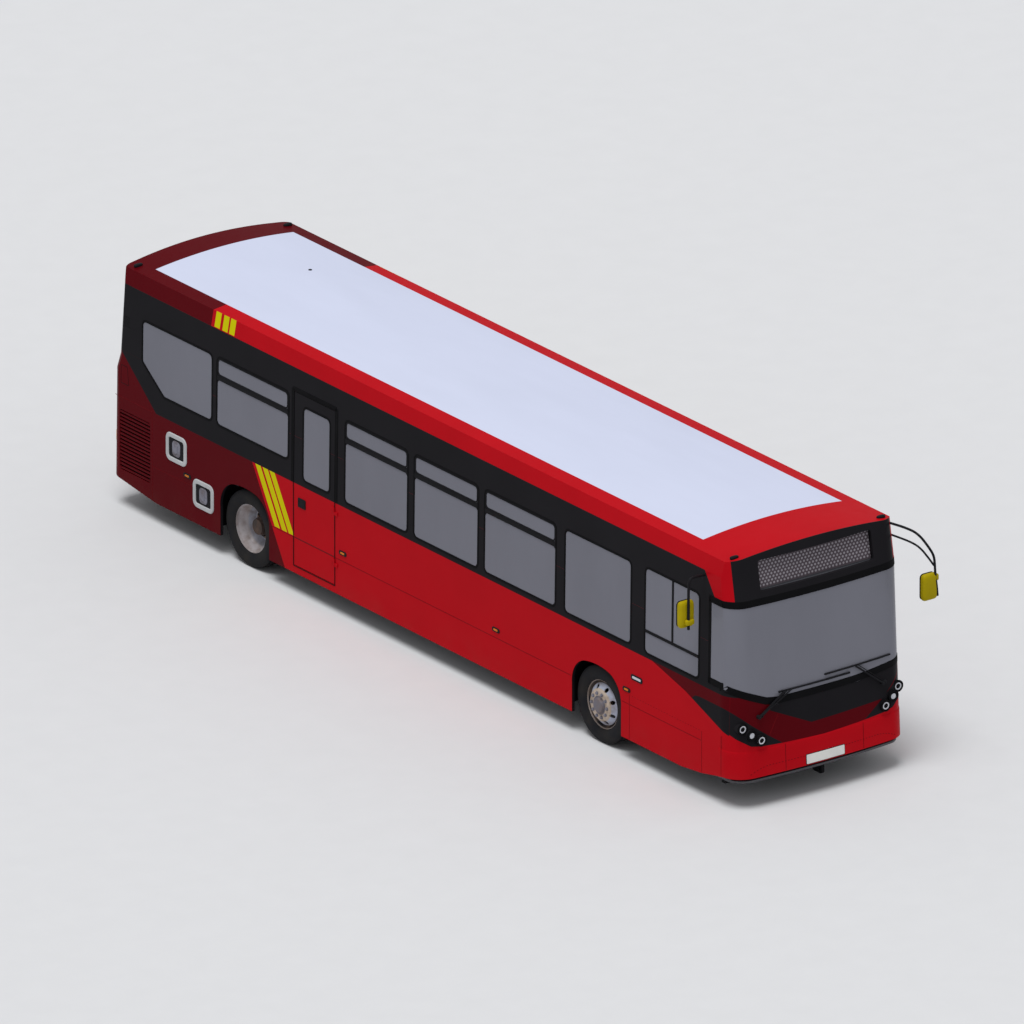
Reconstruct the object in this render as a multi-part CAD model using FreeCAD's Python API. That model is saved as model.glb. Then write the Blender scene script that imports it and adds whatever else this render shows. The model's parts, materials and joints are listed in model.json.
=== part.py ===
import FreeCAD, Part
import math
import os

# City bus: single-deck, low-floor, right-hand drive, one entry doorway and one emergency door.
# Millimetres. While it is drawn, Y = 0 is the front axle, +Y is rearward, +X is the bus's left
# (kerb) side and Z = 0 is the road. Each part is moved by ORIGIN_SHIFT when it is written.

V = FreeCAD.Vector
AXES = {"x": V(1, 0, 0), "y": V(0, 1, 0), "z": V(0, 0, 1)}

# ---- overall form ------------------------------------------------------------------------
BODY_WIDTH = 2440.0
WHEELBASE = 6706.0
HALF_WIDTH = BODY_WIDTH / 2
OUTSIDE = HALF_WIDTH + 80.0            # clear of the body on either side
TAIL_Y = WHEELBASE + 2644.0            # foot of the tail, behind the front axle
BEHIND = TAIL_Y + 250.0
AHEAD = -3000.0
BAY_STRETCH = WHEELBASE / 6706.0       # bays, outriggers and side doors keep their share of the wheelbase
ORIGIN_SHIFT = V(0, -(TAIL_Y - 2878.0) / 2, 0)     # front axle to the middle of the overall length
WALL = 40.0                         # side walls, ends and roof
TUMBLEHOME = 20.0                   # each side leans in by this much up to the cantrail
BELT_Z = 1360.0
CANT_Z = 2765.0
CREASE_X = HALF_WIDTH - 55.0
CREASE_Z = 2955.0
ROOF_EDGE_X = HALF_WIDTH - 235.0
ROOF_EDGE_Z = 2976.0
CROWN_Z = 3040.0
NOSE_BOW = 10650.0                  # plan radii of the bowed ends and their corners
NOSE_CORNER = 268.0
TAIL_BOW = 15000.0
TAIL_CORNER = 170.0
NOSE_LINES = (                      # (y, z) pairs on the centreline: lower nose, header
    ((-2706.0, 0.0), (-2575.0, 2460.0)),
    ((-2575.0, 2460.0), (-2460.0, 3100.0)),
)
TAIL_LINES = (                      # lower tail, shoulder, upper tail
    ((TAIL_Y, 0.0), (TAIL_Y - 35.0, 1700.0)),
    ((TAIL_Y - 35.0, 1700.0), (TAIL_Y - 110.0, 1900.0)),
    ((TAIL_Y - 110.0, 1900.0), (TAIL_Y - 220.0, 3100.0)),
)
SKIRT_LINE = (                      # (y, z) of the lower edge, nose to tail
    (-2750.0, 385.0), (-2380.0, 370.0), (-1980.0, 290.0), (-1600.0, 250.0),
    (TAIL_Y - 930.0, 250.0), (TAIL_Y - 150.0, 350.0), (TAIL_Y + 50.0, 400.0),
)
NOSE_JOINT_Y = -1980.0              # where the front mouldings meet the sides
TAIL_JOINT_Y = TAIL_Y - 860.0               # lower rear corner panel
TAIL_JOINT_HIGH_Y = TAIL_Y - 450.0          # rear panel above the belt
MASK_TOP_Z = 1160.0

# ---- glazing -----------------------------------------------------------------------------
GLASS = 6.0
GLASS_DEPTH = 2.0                   # outer face of the body to the outer face of the glass
SEAL_GAP = 0.3
PANE_CORNER = 60.0
LOW_SILL_Z = 1430.0
HIGH_SILL_Z = 1605.0
HEAD_Z = 2420.0
TRANSOM_Z = 2150.0
TRANSOM = 50.0
SIDE_WINDOWS = (                    # y start, y end before the bays stretch, sill, has a hopper, on both sides
    (790.0, 2120.0, LOW_SILL_Z, True, True),
    (2260.0, 3460.0, LOW_SILL_Z, True, True),
    (3600.0, 4780.0, LOW_SILL_Z, True, True),
    (5880.0, 7240.0, HIGH_SILL_Z, True, True),
    (-630.0, 600.0, LOW_SILL_Z, False, True),
    (4920.0, 5740.0, LOW_SILL_Z, False, False),
)
CAB_WINDOW = (-1910.0, -910.0, 1420.0, 2440.0)
QUARTER_LIGHT = (                   # (y from the tail, z)
    (-2000.0, 1610.0), (-1090.0, 1610.0), (-670.0, 1920.0), (-670.0, 2415.0), (-2000.0, 2415.0),
)
SCREEN_REAR_Y = -2110.0
SCREEN_OUTLINE = (                  # (x, z), offside to kerb side; the driver's corner is raised
    (-HALF_WIDTH + 30.0, 1430.0, 120.0), (-HALF_WIDTH + 520.0, 1200.0, 200.0),
    (HALF_WIDTH - 720.0, 1200.0, 200.0), (HALF_WIDTH - 30.0, 1255.0, 120.0),
)
SCREEN_HEAD_Z = 2460.0
REAR_LIGHT = (-HALF_WIDTH + 370.0, HALF_WIDTH - 370.0, 1790.0, 2430.0)

# ---- front -------------------------------------------------------------------------------
BUMPER_LOW_Z = 385.0
BUMPER_TOP_Z = 610.0
BUMPER_PROUD = 12.0
BUMPER_REAR_Y = -2300.0
DISPLAY_HALF = HALF_WIDTH - 420.0
DISPLAY_LOW_Z = 2570.0
DISPLAY_TOP_Z = 2925.0
DISPLAY_RECESS = 85.0
LAMP_PLACES = (                     # x, front face ahead of the front axle, z, radius
    (HALF_WIDTH - 341.0, 2650.0, 820.0, 58.0),
    (HALF_WIDTH - 219.0, 2630.0, 900.0, 58.0),
    (HALF_WIDTH - 120.0, 2585.0, 985.0, 55.0),
)
LAMP_BEZEL = 9.0
TAIL_CLUSTER = (HALF_WIDTH - 290.0, HALF_WIDTH - 170.0, 560.0, 1130.0)
TAIL_PROUD = 14.0
CLUSTER_SPLIT_Y = -2450.0
LOUVRE_PITCH = 46.0
LOUVRE_BLADE = 8.0
LOUVRE_RISE = 9.0
LOUVRE_LAP = 15.0
GRILLE = (TAIL_Y - 820.0, TAIL_Y - 230.0, 460.0, 1200.0)
SIDE_MARKERS_Y = (-570.0, 1900.0 * BAY_STRETCH, 4820.0 * BAY_STRETCH, WHEELBASE + 1104.0)

MIRRORS = (                         # middle of each head: x, y, z
    (-HALF_WIDTH - 250.0, -2000.0, 2275.0),
    (HALF_WIDTH + 160.0, -2830.0, 2195.0),
)
WIPER_PIVOT_Z = 1100.0
WIPERS = (                          # pivot x, elbow x, blade x start, blade x end, blade height
    (-900.0, -450.0, -620.0, 380.0, 1340.0),
    (850.0, 450.0, 20.0, 980.0, 1405.0),
)
BLADE_R = 8.0
WIPER_ARM_R = 9.0

# ---- running gear ------------------------------------------------------------------------
TYRE_RADIUS = 464.0
TYRE_WIDTH = 255.0
RIM_RADIUS = 286.0
RIM_FLANGE = 298.0
RIM_WIDTH = 200.0
FLANGE = 5.0
RIM_BORE = 262.0
WHEEL_X = HALF_WIDTH - 183.0                    # middle plane of the front and outer rear tyres
TWIN_SPACING = 287.0
AXLE_TUBE_R = 75.0
AXLE_BUMP = 170.0                   # room for the axle tube above its resting height
KINGPIN_X = WHEEL_X - 107.0
KINGPIN_R = 22.0
SPINDLE_R = 30.0
REAR_SPINDLE_R = 42.0
RUN_GAP = 0.3                       # running clearance at pins, spindles and thrust faces
FRONT_ARCH = (465.0, 600.0, 975.0)  # half width, springing height, top
REAR_ARCH = (470.0, 600.0, 985.0)
BOX_SHEET = 6.0
FRONT_BOX_X = WHEEL_X - 537.0
REAR_BOX_X = WHEEL_X - 481.0
BOX_CLEAR = 95.0                    # wheel boxes are longer than the arch at each end
HAND_HOLES = 8

# ---- structure ---------------------------------------------------------------------------
FLOOR_Z = 340.0
STEP_Z = 600.0
DECK_Z = 860.0
BENCH_Z = 1300.0
FLOOR_SHEET = 25.0
STEP_Y = WHEELBASE - 906.0
STEP_RUN = 250.0
BENCH_Y = WHEELBASE + 1594.0
RAIL_X = FRONT_BOX_X - 100.0
RAIL_WIDTH = 80.0
RAIL_DEPTH = 80.0
LADDER_Y = (-2460.0, WHEELBASE - 646.0)        # low frame, front to rear
FRONT_MEMBERS = (
    -2300.0, -1500.0, -760.0, 760.0, 2400.0 * BAY_STRETCH, 3900.0 * BAY_STRETCH, 5300.0 * BAY_STRETCH,
)
REAR_MEMBERS = (WHEELBASE + 894.0, WHEELBASE + 1354.0)
MEMBER_HALF = 30.0
MEMBER_SET_UP = 20.0                # cross-members sit above the rails' undersides
OUTRIGGER_X = HALF_WIDTH - 70.0
JACK_Y = 2000.0
JACK_PAD = 12.0
KICK_Y = WHEELBASE - 646.0
KICK_RUN = 140.0
DROP_Y = WHEELBASE + 1404.0
DROP_RUN = 190.0
CRADLE_END_Y = TAIL_Y - 80.0
ENGINE_Y = (WHEELBASE + 1734.0, TAIL_Y - 220.0)
BAY_RAIL_Z = 320.0
TOW_EYE_Y = -2595.0
TOW_EYE_Z = 257.0
TOW_EYE_R = 20.0
TOW_EYE_LIP = 25.0
FLOOR_FRONT_Y = -2700.0

# ---- doors -------------------------------------------------------------------------------
ENTRY_Y = -1950.0
ENTRY_WIDTH = 1200.0
ENTRY_HEAD_Z = 2420.0
ENTRY_SILL_Z = 345.0
LEAF = 35.0
LEAF_X = HALF_WIDTH - 35.0                     # middle of the leaf and its pivot axis
PIVOT_SETBACK = 35.0                # jamb to pivot axis
PIVOT_EDGE = 22.0                   # pivot axis to the leaf's own edge
PIVOT_R = 12.0
LEAF_GAP = 10.0                     # between the two closed leaves
ESCAPE_Y = (4980.0 * BAY_STRETCH, 5760.0 * BAY_STRETCH)
ESCAPE_Z = (345.0, 2475.0)
ESCAPE_GLASS = (ESCAPE_Y[0] + 105.0, ESCAPE_Y[1] - 180.0, 1440.0, 2325.0)
DOOR_GAP = 6.0
HINGE_R = 8.0
ENGINE_DOOR = (-800.0, 800.0, 430.0, 1270.0)
CAB_X = -HALF_WIDTH + 870.0
CAB_DOOR_Y = (-1500.0, -820.0)
CAB_DOOR_TOP = 1500.0
CAB_SHEET = 25.0
CAB_HINGE_R = 9.0
CAB_PIN_R = 5.0
CAB_PIVOT = (CAB_X + 10, CAB_DOOR_Y[1] + 4)
CAB_HINGE_Z = (620.0, 1300.0)
REAR_HINGE_Y = TAIL_Y - 10.0
DRIVER_X = -HALF_WIDTH + 440.0
STEERING = V(DRIVER_X, -1800.0, 1130.0)
STEERING_RAKE = -25.0
STEERING_R = 225.0
STEERING_GRIP = 15.0
DASH_REAR_Y = -1960.0

# ---- saloon ------------------------------------------------------------------------------
SEAT_WIDTH = 800.0
SEAT_TO_WALL = 50.0
SEAT_X = HALF_WIDTH - WALL - SEAT_TO_WALL - SEAT_WIDTH
SEAT_DEPTH = 430.0
SEAT_HEIGHT = 440.0
SEAT_SHELL = 60.0
BACK_HEIGHT = 620.0
BENCH_HALF = HALF_WIDTH - WALL - SEAT_TO_WALL
SEAT_LEAN = 90.0
SEAT_RUN = SEAT_DEPTH + SEAT_LEAN + SEAT_SHELL
LOW_ROWS = (6, 5)                   # kerb side, offside
DECK_ROWS = 3
LOW_ROWS_Y = 950.0
SEAT_PITCH = (STEP_Y + 50.0 - LOW_ROWS_Y - SEAT_RUN) / LOW_ROWS[0]
DECK_ROWS_Y = STEP_Y + 390.0
POLE_R = 16.0
POLE_X = SEAT_X - 20.0
GRAB_Z = 1950.0                     # ceiling rails


# ---- drawing helpers ---------------------------------------------------------------------
def rounded(points, radii, closed):
    """Edges through the points, each turn rounded by an arc tangent to its two runs."""
    turns = []
    last = len(points) - 1
    for i, corner in enumerate(points):
        end_point = not closed and i in (0, last)
        if radii[i] <= 0 or end_point:
            turns.append((corner, None, corner))
            continue
        before = (points[i - 1] - corner).normalize()
        after = (points[(i + 1) % len(points)] - corner).normalize()
        half = before.getAngle(after) / 2
        reach = radii[i] / math.tan(half)
        inward = (before + after).normalize()
        middle = corner + inward * (radii[i] / math.sin(half) - radii[i])
        turns.append((corner + before * reach, middle, corner + after * reach))
    edges = []
    for i, (start, middle, end) in enumerate(turns):
        if middle is not None:
            edges.append(Part.Arc(start, middle, end).toShape())
        if i == last and not closed:
            break
        following = turns[(i + 1) % len(turns)][0]
        if (following - end).Length > 1e-6:
            edges.append(Part.makeLine(end, following))
    return edges


def on_plane(axis, level, u, v):
    """Point of a drawing (u, v) laid square to the axis at a level."""
    if axis == "x":
        return V(level, u, v)
    if axis == "y":
        return V(u, level, v)
    return V(u, v, level)


def prism(corners, axis, low, high, radius=0.0, grow=0.0):
    """Outline with corners (u, v) or (u, v, own radius), grown, then extruded along the axis."""
    points = [on_plane(axis, low, c[0], c[1]) for c in corners]
    radii = [c[2] if len(c) > 2 else radius for c in corners]
    wire = Part.Wire(rounded(points, radii, True))
    if grow:
        wire = wire.makeOffset2D(grow)
    return Part.Face(wire).extrude(AXES[axis] * (high - low))


def box(x, y, z):
    """Block between pairs of limits along each axis."""
    return Part.makeBox(x[1] - x[0], y[1] - y[0], z[1] - z[0], V(x[0], y[0], z[0]))


def rod(start, end, radius):
    """Round bar between two points."""
    run = end - start
    return Part.makeCylinder(radius, run.Length, start, run)


def tube(points, diameter, bend):
    """Round bar swept along straight runs joined by tangent arcs."""
    points = [V(*p) for p in points]
    path = Part.Wire(rounded(points, [bend] * len(points), False))
    section = Part.Wire(Part.makeCircle(diameter / 2, points[0], points[1] - points[0]))
    return path.makePipeShell([section], True, True)


def turned(profile, centre):
    """Solid of revolution about a line along X, from (offset along X, radius) points."""
    points = [V(centre[0] + a, centre[1], centre[2] + r) for a, r in profile]
    wire = Part.makePolygon(points + [points[0]])
    return Part.Face(wire).revolve(V(*centre), AXES["x"], 360)


def mirrored(shape):
    """The same piece on the other side of the bus."""
    return shape.mirror(V(0, 0, 0), AXES["x"])


def both_sides(shape):
    return Part.makeCompound([shape, mirrored(shape)])


def joined(shapes):
    whole = shapes[0].multiFuse(shapes[1:]) if len(shapes) > 1 else shapes[0]
    return whole.removeSplitter()


def cut(shape, tools):
    return shape.cut(tools) if tools else shape


# ---- body form ---------------------------------------------------------------------------
def end_points(half, face, bow, corner, inward):
    """Kerb-side points of one bowed end: side tangent, corner middle, corner tangent."""
    bow_centre = V(0, face + inward * bow, 0)
    rise = math.sqrt((bow - corner) ** 2 - (half - corner) ** 2)
    corner_centre = V(half - corner, bow_centre.y - inward * rise, 0)
    side = V(half, corner_centre.y, 0)
    tangent = bow_centre + (corner_centre - bow_centre).normalize() * bow
    middle = corner_centre + ((side - corner_centre) + (tangent - corner_centre)).normalize() * corner
    return side, middle, tangent


def end_bar(inset, line, bow, corner, inward):
    """Long bar with one bowed, round-cornered end, leaning so that the end follows a (y, z) line."""
    (y0, z0), (y1, z1) = line
    side, middle, tangent = end_points(BODY_WIDTH / 2 - inset, inward * inset, bow - inset, corner - inset, inward)
    far = V(side.x, inward * 2 * BEHIND, 0)

    def other(p):
        return V(-p.x, p.y, 0)

    edges = [
        Part.makeLine(far, side),
        Part.Arc(side, middle, tangent).toShape(),
        Part.Arc(tangent, V(0, inward * inset, 0), other(tangent)).toShape(),
        Part.Arc(other(tangent), other(middle), other(side)).toShape(),
        Part.makeLine(other(side), other(far)),
        Part.makeLine(other(far), far),
    ]
    bar = Part.Face(Part.Wire(edges)).extrude(V(0, 0, 8000))
    bar.translate(V(0, 0, -3000))
    bar.rotate(V(0, 0, 0), AXES["x"], -math.degrees(math.atan2(y1 - y0, z1 - z0)))
    bar.translate(V(0, y0, z0))
    return bar


def section(inset):
    """Cross-section prism: upright below the belt, leaning in above it, creased roof edge, crown."""
    half = BODY_WIDTH / 2 - inset
    low = AHEAD
    high = BEHIND + 500.0
    side = [(half, 0), (half, BELT_Z), (half - TUMBLEHOME, CANT_Z), (CREASE_X - inset, CREASE_Z - inset)]
    side.append((ROOF_EDGE_X, ROOF_EDGE_Z - inset))
    right = [V(x, low, z) for x, z in side]
    left = [V(-x, low, z) for x, z in reversed(side)]
    crown = Part.Arc(right[-1], V(0, low, CROWN_Z - inset), left[0]).toShape()
    lines = [Part.makeLine(a, b) for a, b in zip(right, right[1:])]
    lines.append(crown)
    lines += [Part.makeLine(a, b) for a, b in zip(left, left[1:])]
    lines.append(Part.makeLine(left[-1], right[0]))
    return Part.Face(Part.Wire(lines)).extrude(V(0, high - low, 0))


def form(inset):
    """Closed outer form of the whole body, moved in by inset."""
    noses = [end_bar(inset, line, NOSE_BOW, NOSE_CORNER, 1) for line in NOSE_LINES]
    low, shoulder, high = [end_bar(inset, line, TAIL_BOW, TAIL_CORNER, -1) for line in TAIL_LINES]
    hull = section(inset).common(noses[0]).common(noses[1]).common(low)
    return joined([hull.common(high), hull.common(shoulder)])


def nose_y(x, z):
    """Y of the outer front surface at a place across and up the nose."""
    faces = []
    for (y0, z0), (y1, z1) in NOSE_LINES:
        side, _, tangent = end_points(BODY_WIDTH / 2, 0, NOSE_BOW, NOSE_CORNER, 1)
        if abs(x) <= tangent.x:
            setback = NOSE_BOW - math.sqrt(NOSE_BOW ** 2 - x ** 2)
        else:
            from_centre = abs(x) - (side.x - NOSE_CORNER)
            setback = side.y - math.sqrt(max(NOSE_CORNER ** 2 - from_centre ** 2, 0))
        faces.append(y0 + (y1 - y0) * (z - z0) / (z1 - z0) + setback * math.hypot(1, (y1 - y0) / (z1 - z0)))
    return max(faces)


def side_x(z):
    """Half width of the body at a height below the cantrail."""
    return BODY_WIDTH / 2 - TUMBLEHOME * max(0.0, z - BELT_Z) / (CANT_Z - BELT_Z)


def arch(shape, centre_y, low, high, grow=0.0):
    """Wheel-arch opening: upright jambs, round shoulders and a flatter crown."""
    half, spring, top = shape
    shoulder = 0.86
    haunch = 0.48

    def at(y, z):
        return V(low, centre_y + y, z)

    edges = [Part.makeLine(at(half, 100), at(half, spring))]
    edges.append(Part.Arc(at(half, spring), at(half * shoulder, top - 145), at(half * haunch, top - 25)).toShape())
    edges.append(Part.Arc(at(half * haunch, top - 25), at(0, top), at(-half * haunch, top - 25)).toShape())
    edges.append(Part.Arc(at(-half * haunch, top - 25), at(-half * shoulder, top - 145), at(-half, spring)).toShape())
    edges.append(Part.makeLine(at(-half, spring), at(-half, 100)))
    edges.append(Part.makeLine(at(-half, 100), at(half, 100)))
    wire = Part.Wire(edges)
    if grow:
        wire = wire.makeOffset2D(grow)
    return Part.Face(wire).extrude(V(high - low, 0, 0))


# ---- openings ----------------------------------------------------------------------------
def rectangle(y0, y1, z0, z1):
    return ((y0, z0), (y1, z0), (y1, z1), (y0, z1))


def pane_outlines(side):
    """Outlines (y, z) of every fixed pane and hopper on one side, +1 kerb side, -1 offside."""
    outlines = []
    for start, end, sill, hopper, both in SIDE_WINDOWS:
        if not both and side < 0:
            continue
        start = start * BAY_STRETCH
        end = end * BAY_STRETCH
        if hopper:
            outlines.append(rectangle(start, end, sill, TRANSOM_Z))
            outlines.append(rectangle(start, end, TRANSOM_Z + TRANSOM, HEAD_Z))
        else:
            outlines.append(rectangle(start, end, sill, HEAD_Z))
    outlines.append([(TAIL_Y + y, z) for y, z in QUARTER_LIGHT])
    if side < 0:
        outlines.append(rectangle(*CAB_WINDOW))
    return outlines


def side_prisms(side, grow=0.0):
    """Prisms through the wall for the panes of one side."""
    outer = side * OUTSIDE
    inner = side * (HALF_WIDTH - 220.0)
    return [prism(o, "x", min(inner, outer), max(inner, outer), PANE_CORNER, grow) for o in pane_outlines(side)]


def screen_prism(grow=0.0):
    """Windscreen opening, drawn from the front and run back to the door pillars."""
    edge = OUTSIDE
    first = SCREEN_OUTLINE[0]
    final = SCREEN_OUTLINE[-1]
    corners = [(-edge, first[1]), *SCREEN_OUTLINE, (edge, final[1]), (edge, SCREEN_HEAD_Z), (-edge, SCREEN_HEAD_Z)]
    return prism(corners, "y", AHEAD, SCREEN_REAR_Y + grow, 0.0, grow)


def rear_light_prism(grow=0.0):
    x0, x1, z0, z1 = REAR_LIGHT
    return prism(rectangle(x0, x1, z0, z1), "y", TAIL_JOINT_HIGH_Y, BEHIND, 90.0, grow)


def entry_opening():
    return box((HALF_WIDTH - 220, OUTSIDE), (ENTRY_Y, ENTRY_Y + ENTRY_WIDTH), (ENTRY_SILL_Z, ENTRY_HEAD_Z))


def escape_opening():
    return box((-OUTSIDE, 220 - HALF_WIDTH), ESCAPE_Y, ESCAPE_Z)


def engine_opening(grow=0.0):
    x0, x1, z0, z1 = ENGINE_DOOR
    return prism(rectangle(x0, x1, z0, z1), "y", TAIL_Y - 550.0, BEHIND, 40.0, grow)


def entry_pivots():
    """The pivot axis of each entry leaf, as (y, direction of the leaf from it)."""
    return ((ENTRY_Y + PIVOT_SETBACK, 1), (ENTRY_Y + ENTRY_WIDTH - PIVOT_SETBACK, -1))


def pivot_bores():
    bores = []
    for y, _ in entry_pivots():
        bores.append(rod(V(LEAF_X, y, FLOOR_Z - 60), V(LEAF_X, y, ENTRY_SILL_Z + 10), PIVOT_R + RUN_GAP))
        bores.append(rod(V(LEAF_X, y, ENTRY_HEAD_Z - 10), V(LEAF_X, y, ENTRY_HEAD_Z + 40), PIVOT_R + RUN_GAP))
    return bores


def louvres(spans, axis, face, pitch, rise):
    """Row of sloping blades across an opening, climbing z, between two levels of the axis."""
    u0, u1, z0, z1 = spans
    low, high = face
    blades = []
    for i in range(int((z1 - z0) / pitch)):
        z = z0 + (i + 0.5) * pitch
        corners = [(low, z + rise), (high, z - rise), (high, z - rise + LOUVRE_BLADE), (low, z + rise + LOUVRE_BLADE)]
        along = "y"
        if axis == "y":
            along = "x"
        blades.append(prism(corners, along, u0, u1))
    return blades


# ---- body panels -------------------------------------------------------------------------


def shell():
    """Open-bottomed body shell with its lower edge trimmed to the skirt line."""
    outer = form(0)
    hollow = outer.cut(form(WALL))
    below = list(SKIRT_LINE) + [(BEHIND, -100.0), (AHEAD, -100.0)]
    return hollow.cut(prism(below, "x", -OUTSIDE, OUTSIDE))


def walls(body):
    """The two saloon sides between the end mouldings, below the cantrail."""
    reach = ((NOSE_JOINT_Y, 0), (TAIL_JOINT_Y, 0), (TAIL_JOINT_Y, BELT_Z), (TAIL_JOINT_HIGH_Y, BELT_Z),
             (TAIL_JOINT_HIGH_Y, CANT_Z), (NOSE_JOINT_Y, CANT_Z))
    arches = [arch(FRONT_ARCH, 0, -OUTSIDE, OUTSIDE), arch(REAR_ARCH, WHEELBASE, -OUTSIDE, OUTSIDE)]
    kerb = body.common(prism(reach, "x", HALF_WIDTH / 2, OUTSIDE))
    kerb = cut(kerb, side_prisms(1) + arches + [entry_opening()] + pivot_bores())
    offside = body.common(prism(reach, "x", -OUTSIDE, -HALF_WIDTH / 2))
    offside = cut(offside, side_prisms(-1) + arches + [escape_opening()])
    return offside, kerb


def roof(body):
    return body.common(box((-OUTSIDE, OUTSIDE), (NOSE_JOINT_Y, BEHIND), (CANT_Z, CROWN_Z + 100)))


def front_frame(body):
    """Windscreen frame: pillars, header with the display opening, and the band under the glass."""
    frame = body.common(box((-OUTSIDE, OUTSIDE), (AHEAD, NOSE_JOINT_Y), (MASK_TOP_Z, CROWN_Z + 100)))
    display = prism(rectangle(-DISPLAY_HALF, DISPLAY_HALF, DISPLAY_LOW_Z, DISPLAY_TOP_Z), "y", AHEAD, -2250, 30.0)
    return cut(frame, [screen_prism(), display])


def cluster_prisms():
    """Headlamp cluster outline on the kerb side: front view, and its wedge along the side."""
    inner = ((645.0, 712.0), (370.0, 745.0), (220.0, 820.0), (110.0, 905.0), (-80.0, 960.0),
             (-80.0, 1155.0), (120.0, 1150.0), (270.0, 990.0), (470.0, 820.0))
    front = [(HALF_WIDTH - x, z) for x, z in inner]
    side = ((CLUSTER_SPLIT_Y, 955.0), (NOSE_JOINT_Y, 1080.0), (NOSE_JOINT_Y, 1155.0), (CLUSTER_SPLIT_Y, 1155.0))
    return prism(front, "y", AHEAD, CLUSTER_SPLIT_Y), prism(side, "x", HALF_WIDTH - 220, OUTSIDE)


def lamp_pods(length, grow):
    """Round lamp bodies of one cluster, with their axes along Y."""
    return [rod(V(x, -y, z), V(x, -y + length, z), r + grow) for x, y, z, r in LAMP_PLACES]


def front_mask(body, clusters):
    mask = body.common(box((-OUTSIDE, OUTSIDE), (AHEAD, NOSE_JOINT_Y), (0, MASK_TOP_Z)))
    bumper_room = box((-OUTSIDE, OUTSIDE), (AHEAD, BUMPER_REAR_Y), (0, BUMPER_TOP_Z))
    return cut(mask, [bumper_room] + clusters)


def front_bumper():
    """Proud bumper moulding with a chamfered shoulder along its top."""
    reach = ((-OUTSIDE, OUTSIDE), (AHEAD, BUMPER_REAR_Y), (BUMPER_LOW_Z, BUMPER_TOP_Z))
    outer = form(-BUMPER_PROUD).common(box(*reach))
    return outer.cut(form(WALL))


def rear_body(body):
    reach = ((TAIL_JOINT_Y, 0), (BEHIND, 0), (BEHIND, CANT_Z), (TAIL_JOINT_HIGH_Y, CANT_Z),
             (TAIL_JOINT_HIGH_Y, BELT_Z), (TAIL_JOINT_Y, BELT_Z))
    panel = body.common(prism(reach, "x", -OUTSIDE, OUTSIDE))
    y0, y1, z0, z1 = GRILLE
    vent = prism(rectangle(*GRILLE), "x", -OUTSIDE, OUTSIDE, 30.0)
    panel = cut(panel, [vent, rear_light_prism(), engine_opening()])
    spans = (y0 - LOUVRE_LAP, y1 + LOUVRE_LAP, z0, z1)
    blades = louvres(spans, "x", (4 - HALF_WIDTH, WALL - 4 - HALF_WIDTH), LOUVRE_PITCH, LOUVRE_RISE)
    blades += [mirrored(b) for b in blades]
    return joined([panel] + blades)


# ---- glass -------------------------------------------------------------------------------
def glass_layer():
    return form(GLASS_DEPTH).cut(form(GLASS_DEPTH + GLASS))


def glazing(layer):
    """Windscreen, and every fixed pane and hopper of the saloon."""
    screen = layer.common(screen_prism(-SEAL_GAP))
    panes = []
    for outline in side_prisms(1, -SEAL_GAP) + side_prisms(-1, -SEAL_GAP) + [rear_light_prism(-SEAL_GAP)]:
        panes.append(layer.common(outline))
    return screen, Part.makeCompound(panes)


# ---- frame, floor and wheel boxes --------------------------------------------------------
def ladder(start, end, low, members, pads):
    """Two straight side rails with cross-members and outriggers between heights low and low + RAIL_DEPTH."""
    rail = box((RAIL_X, RAIL_X + RAIL_WIDTH), (start, end), (low, low + RAIL_DEPTH))
    pieces = [rail, mirrored(rail)]
    for y in members:
        reach = (y - MEMBER_HALF, y + MEMBER_HALF)
        pieces.append(box((-OUTRIGGER_X, OUTRIGGER_X), reach, (low + MEMBER_SET_UP, low + RAIL_DEPTH)))
    middle = RAIL_X + RAIL_WIDTH / 2
    for y in pads:
        pad = box((middle - 30, middle + 30), (y - 60, y + 60), (low - JACK_PAD, low))
        pieces += [pad, mirrored(pad)]
    return pieces


def front_ladder():
    """Low frame under the saloon, with the towing eye and the jacking pads."""
    low = FLOOR_Z - FLOOR_SHEET - RAIL_DEPTH
    pieces = ladder(LADDER_Y[0], LADDER_Y[1], low, FRONT_MEMBERS, (JACK_Y,))
    pieces.append(box((-RAIL_X, RAIL_X), (LADDER_Y[0], LADDER_Y[0] + RAIL_DEPTH), (low, low + RAIL_DEPTH)))
    front = TOW_EYE_Y - TOW_EYE_R - TOW_EYE_LIP
    eye_outline = ((front, low - 35), (LADDER_Y[0], low - 35), (LADDER_Y[0], low + RAIL_DEPTH), (front, low + RAIL_DEPTH))
    eye = prism(eye_outline, "x", -TOW_EYE_R, TOW_EYE_R, 30.0)
    pieces.append(eye.cut(rod(V(-50, TOW_EYE_Y, TOW_EYE_Z), V(50, TOW_EYE_Y, TOW_EYE_Z), TOW_EYE_R)))
    return joined(pieces)


def deck_rail_z():
    """Underside of the raised frame over the drive axle."""
    return DECK_Z - FLOOR_SHEET - 35 - RAIL_DEPTH


def rear_ladder():
    """Raised frame over the drive axle."""
    return joined(ladder(KICK_Y + KICK_RUN, DROP_Y, deck_rail_z(), REAR_MEMBERS, ()))


def kick_rails():
    """Slanted rails that carry the raised frame from the low one."""
    low = FLOOR_Z - FLOOR_SHEET - RAIL_DEPTH
    high = deck_rail_z()
    start = LADDER_Y[1]
    end = KICK_Y + KICK_RUN
    outline = ((start, low), (end, high), (end, high + RAIL_DEPTH), (start, low + RAIL_DEPTH))
    return both_sides(prism(outline, "x", RAIL_X, RAIL_X + RAIL_WIDTH))


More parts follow.
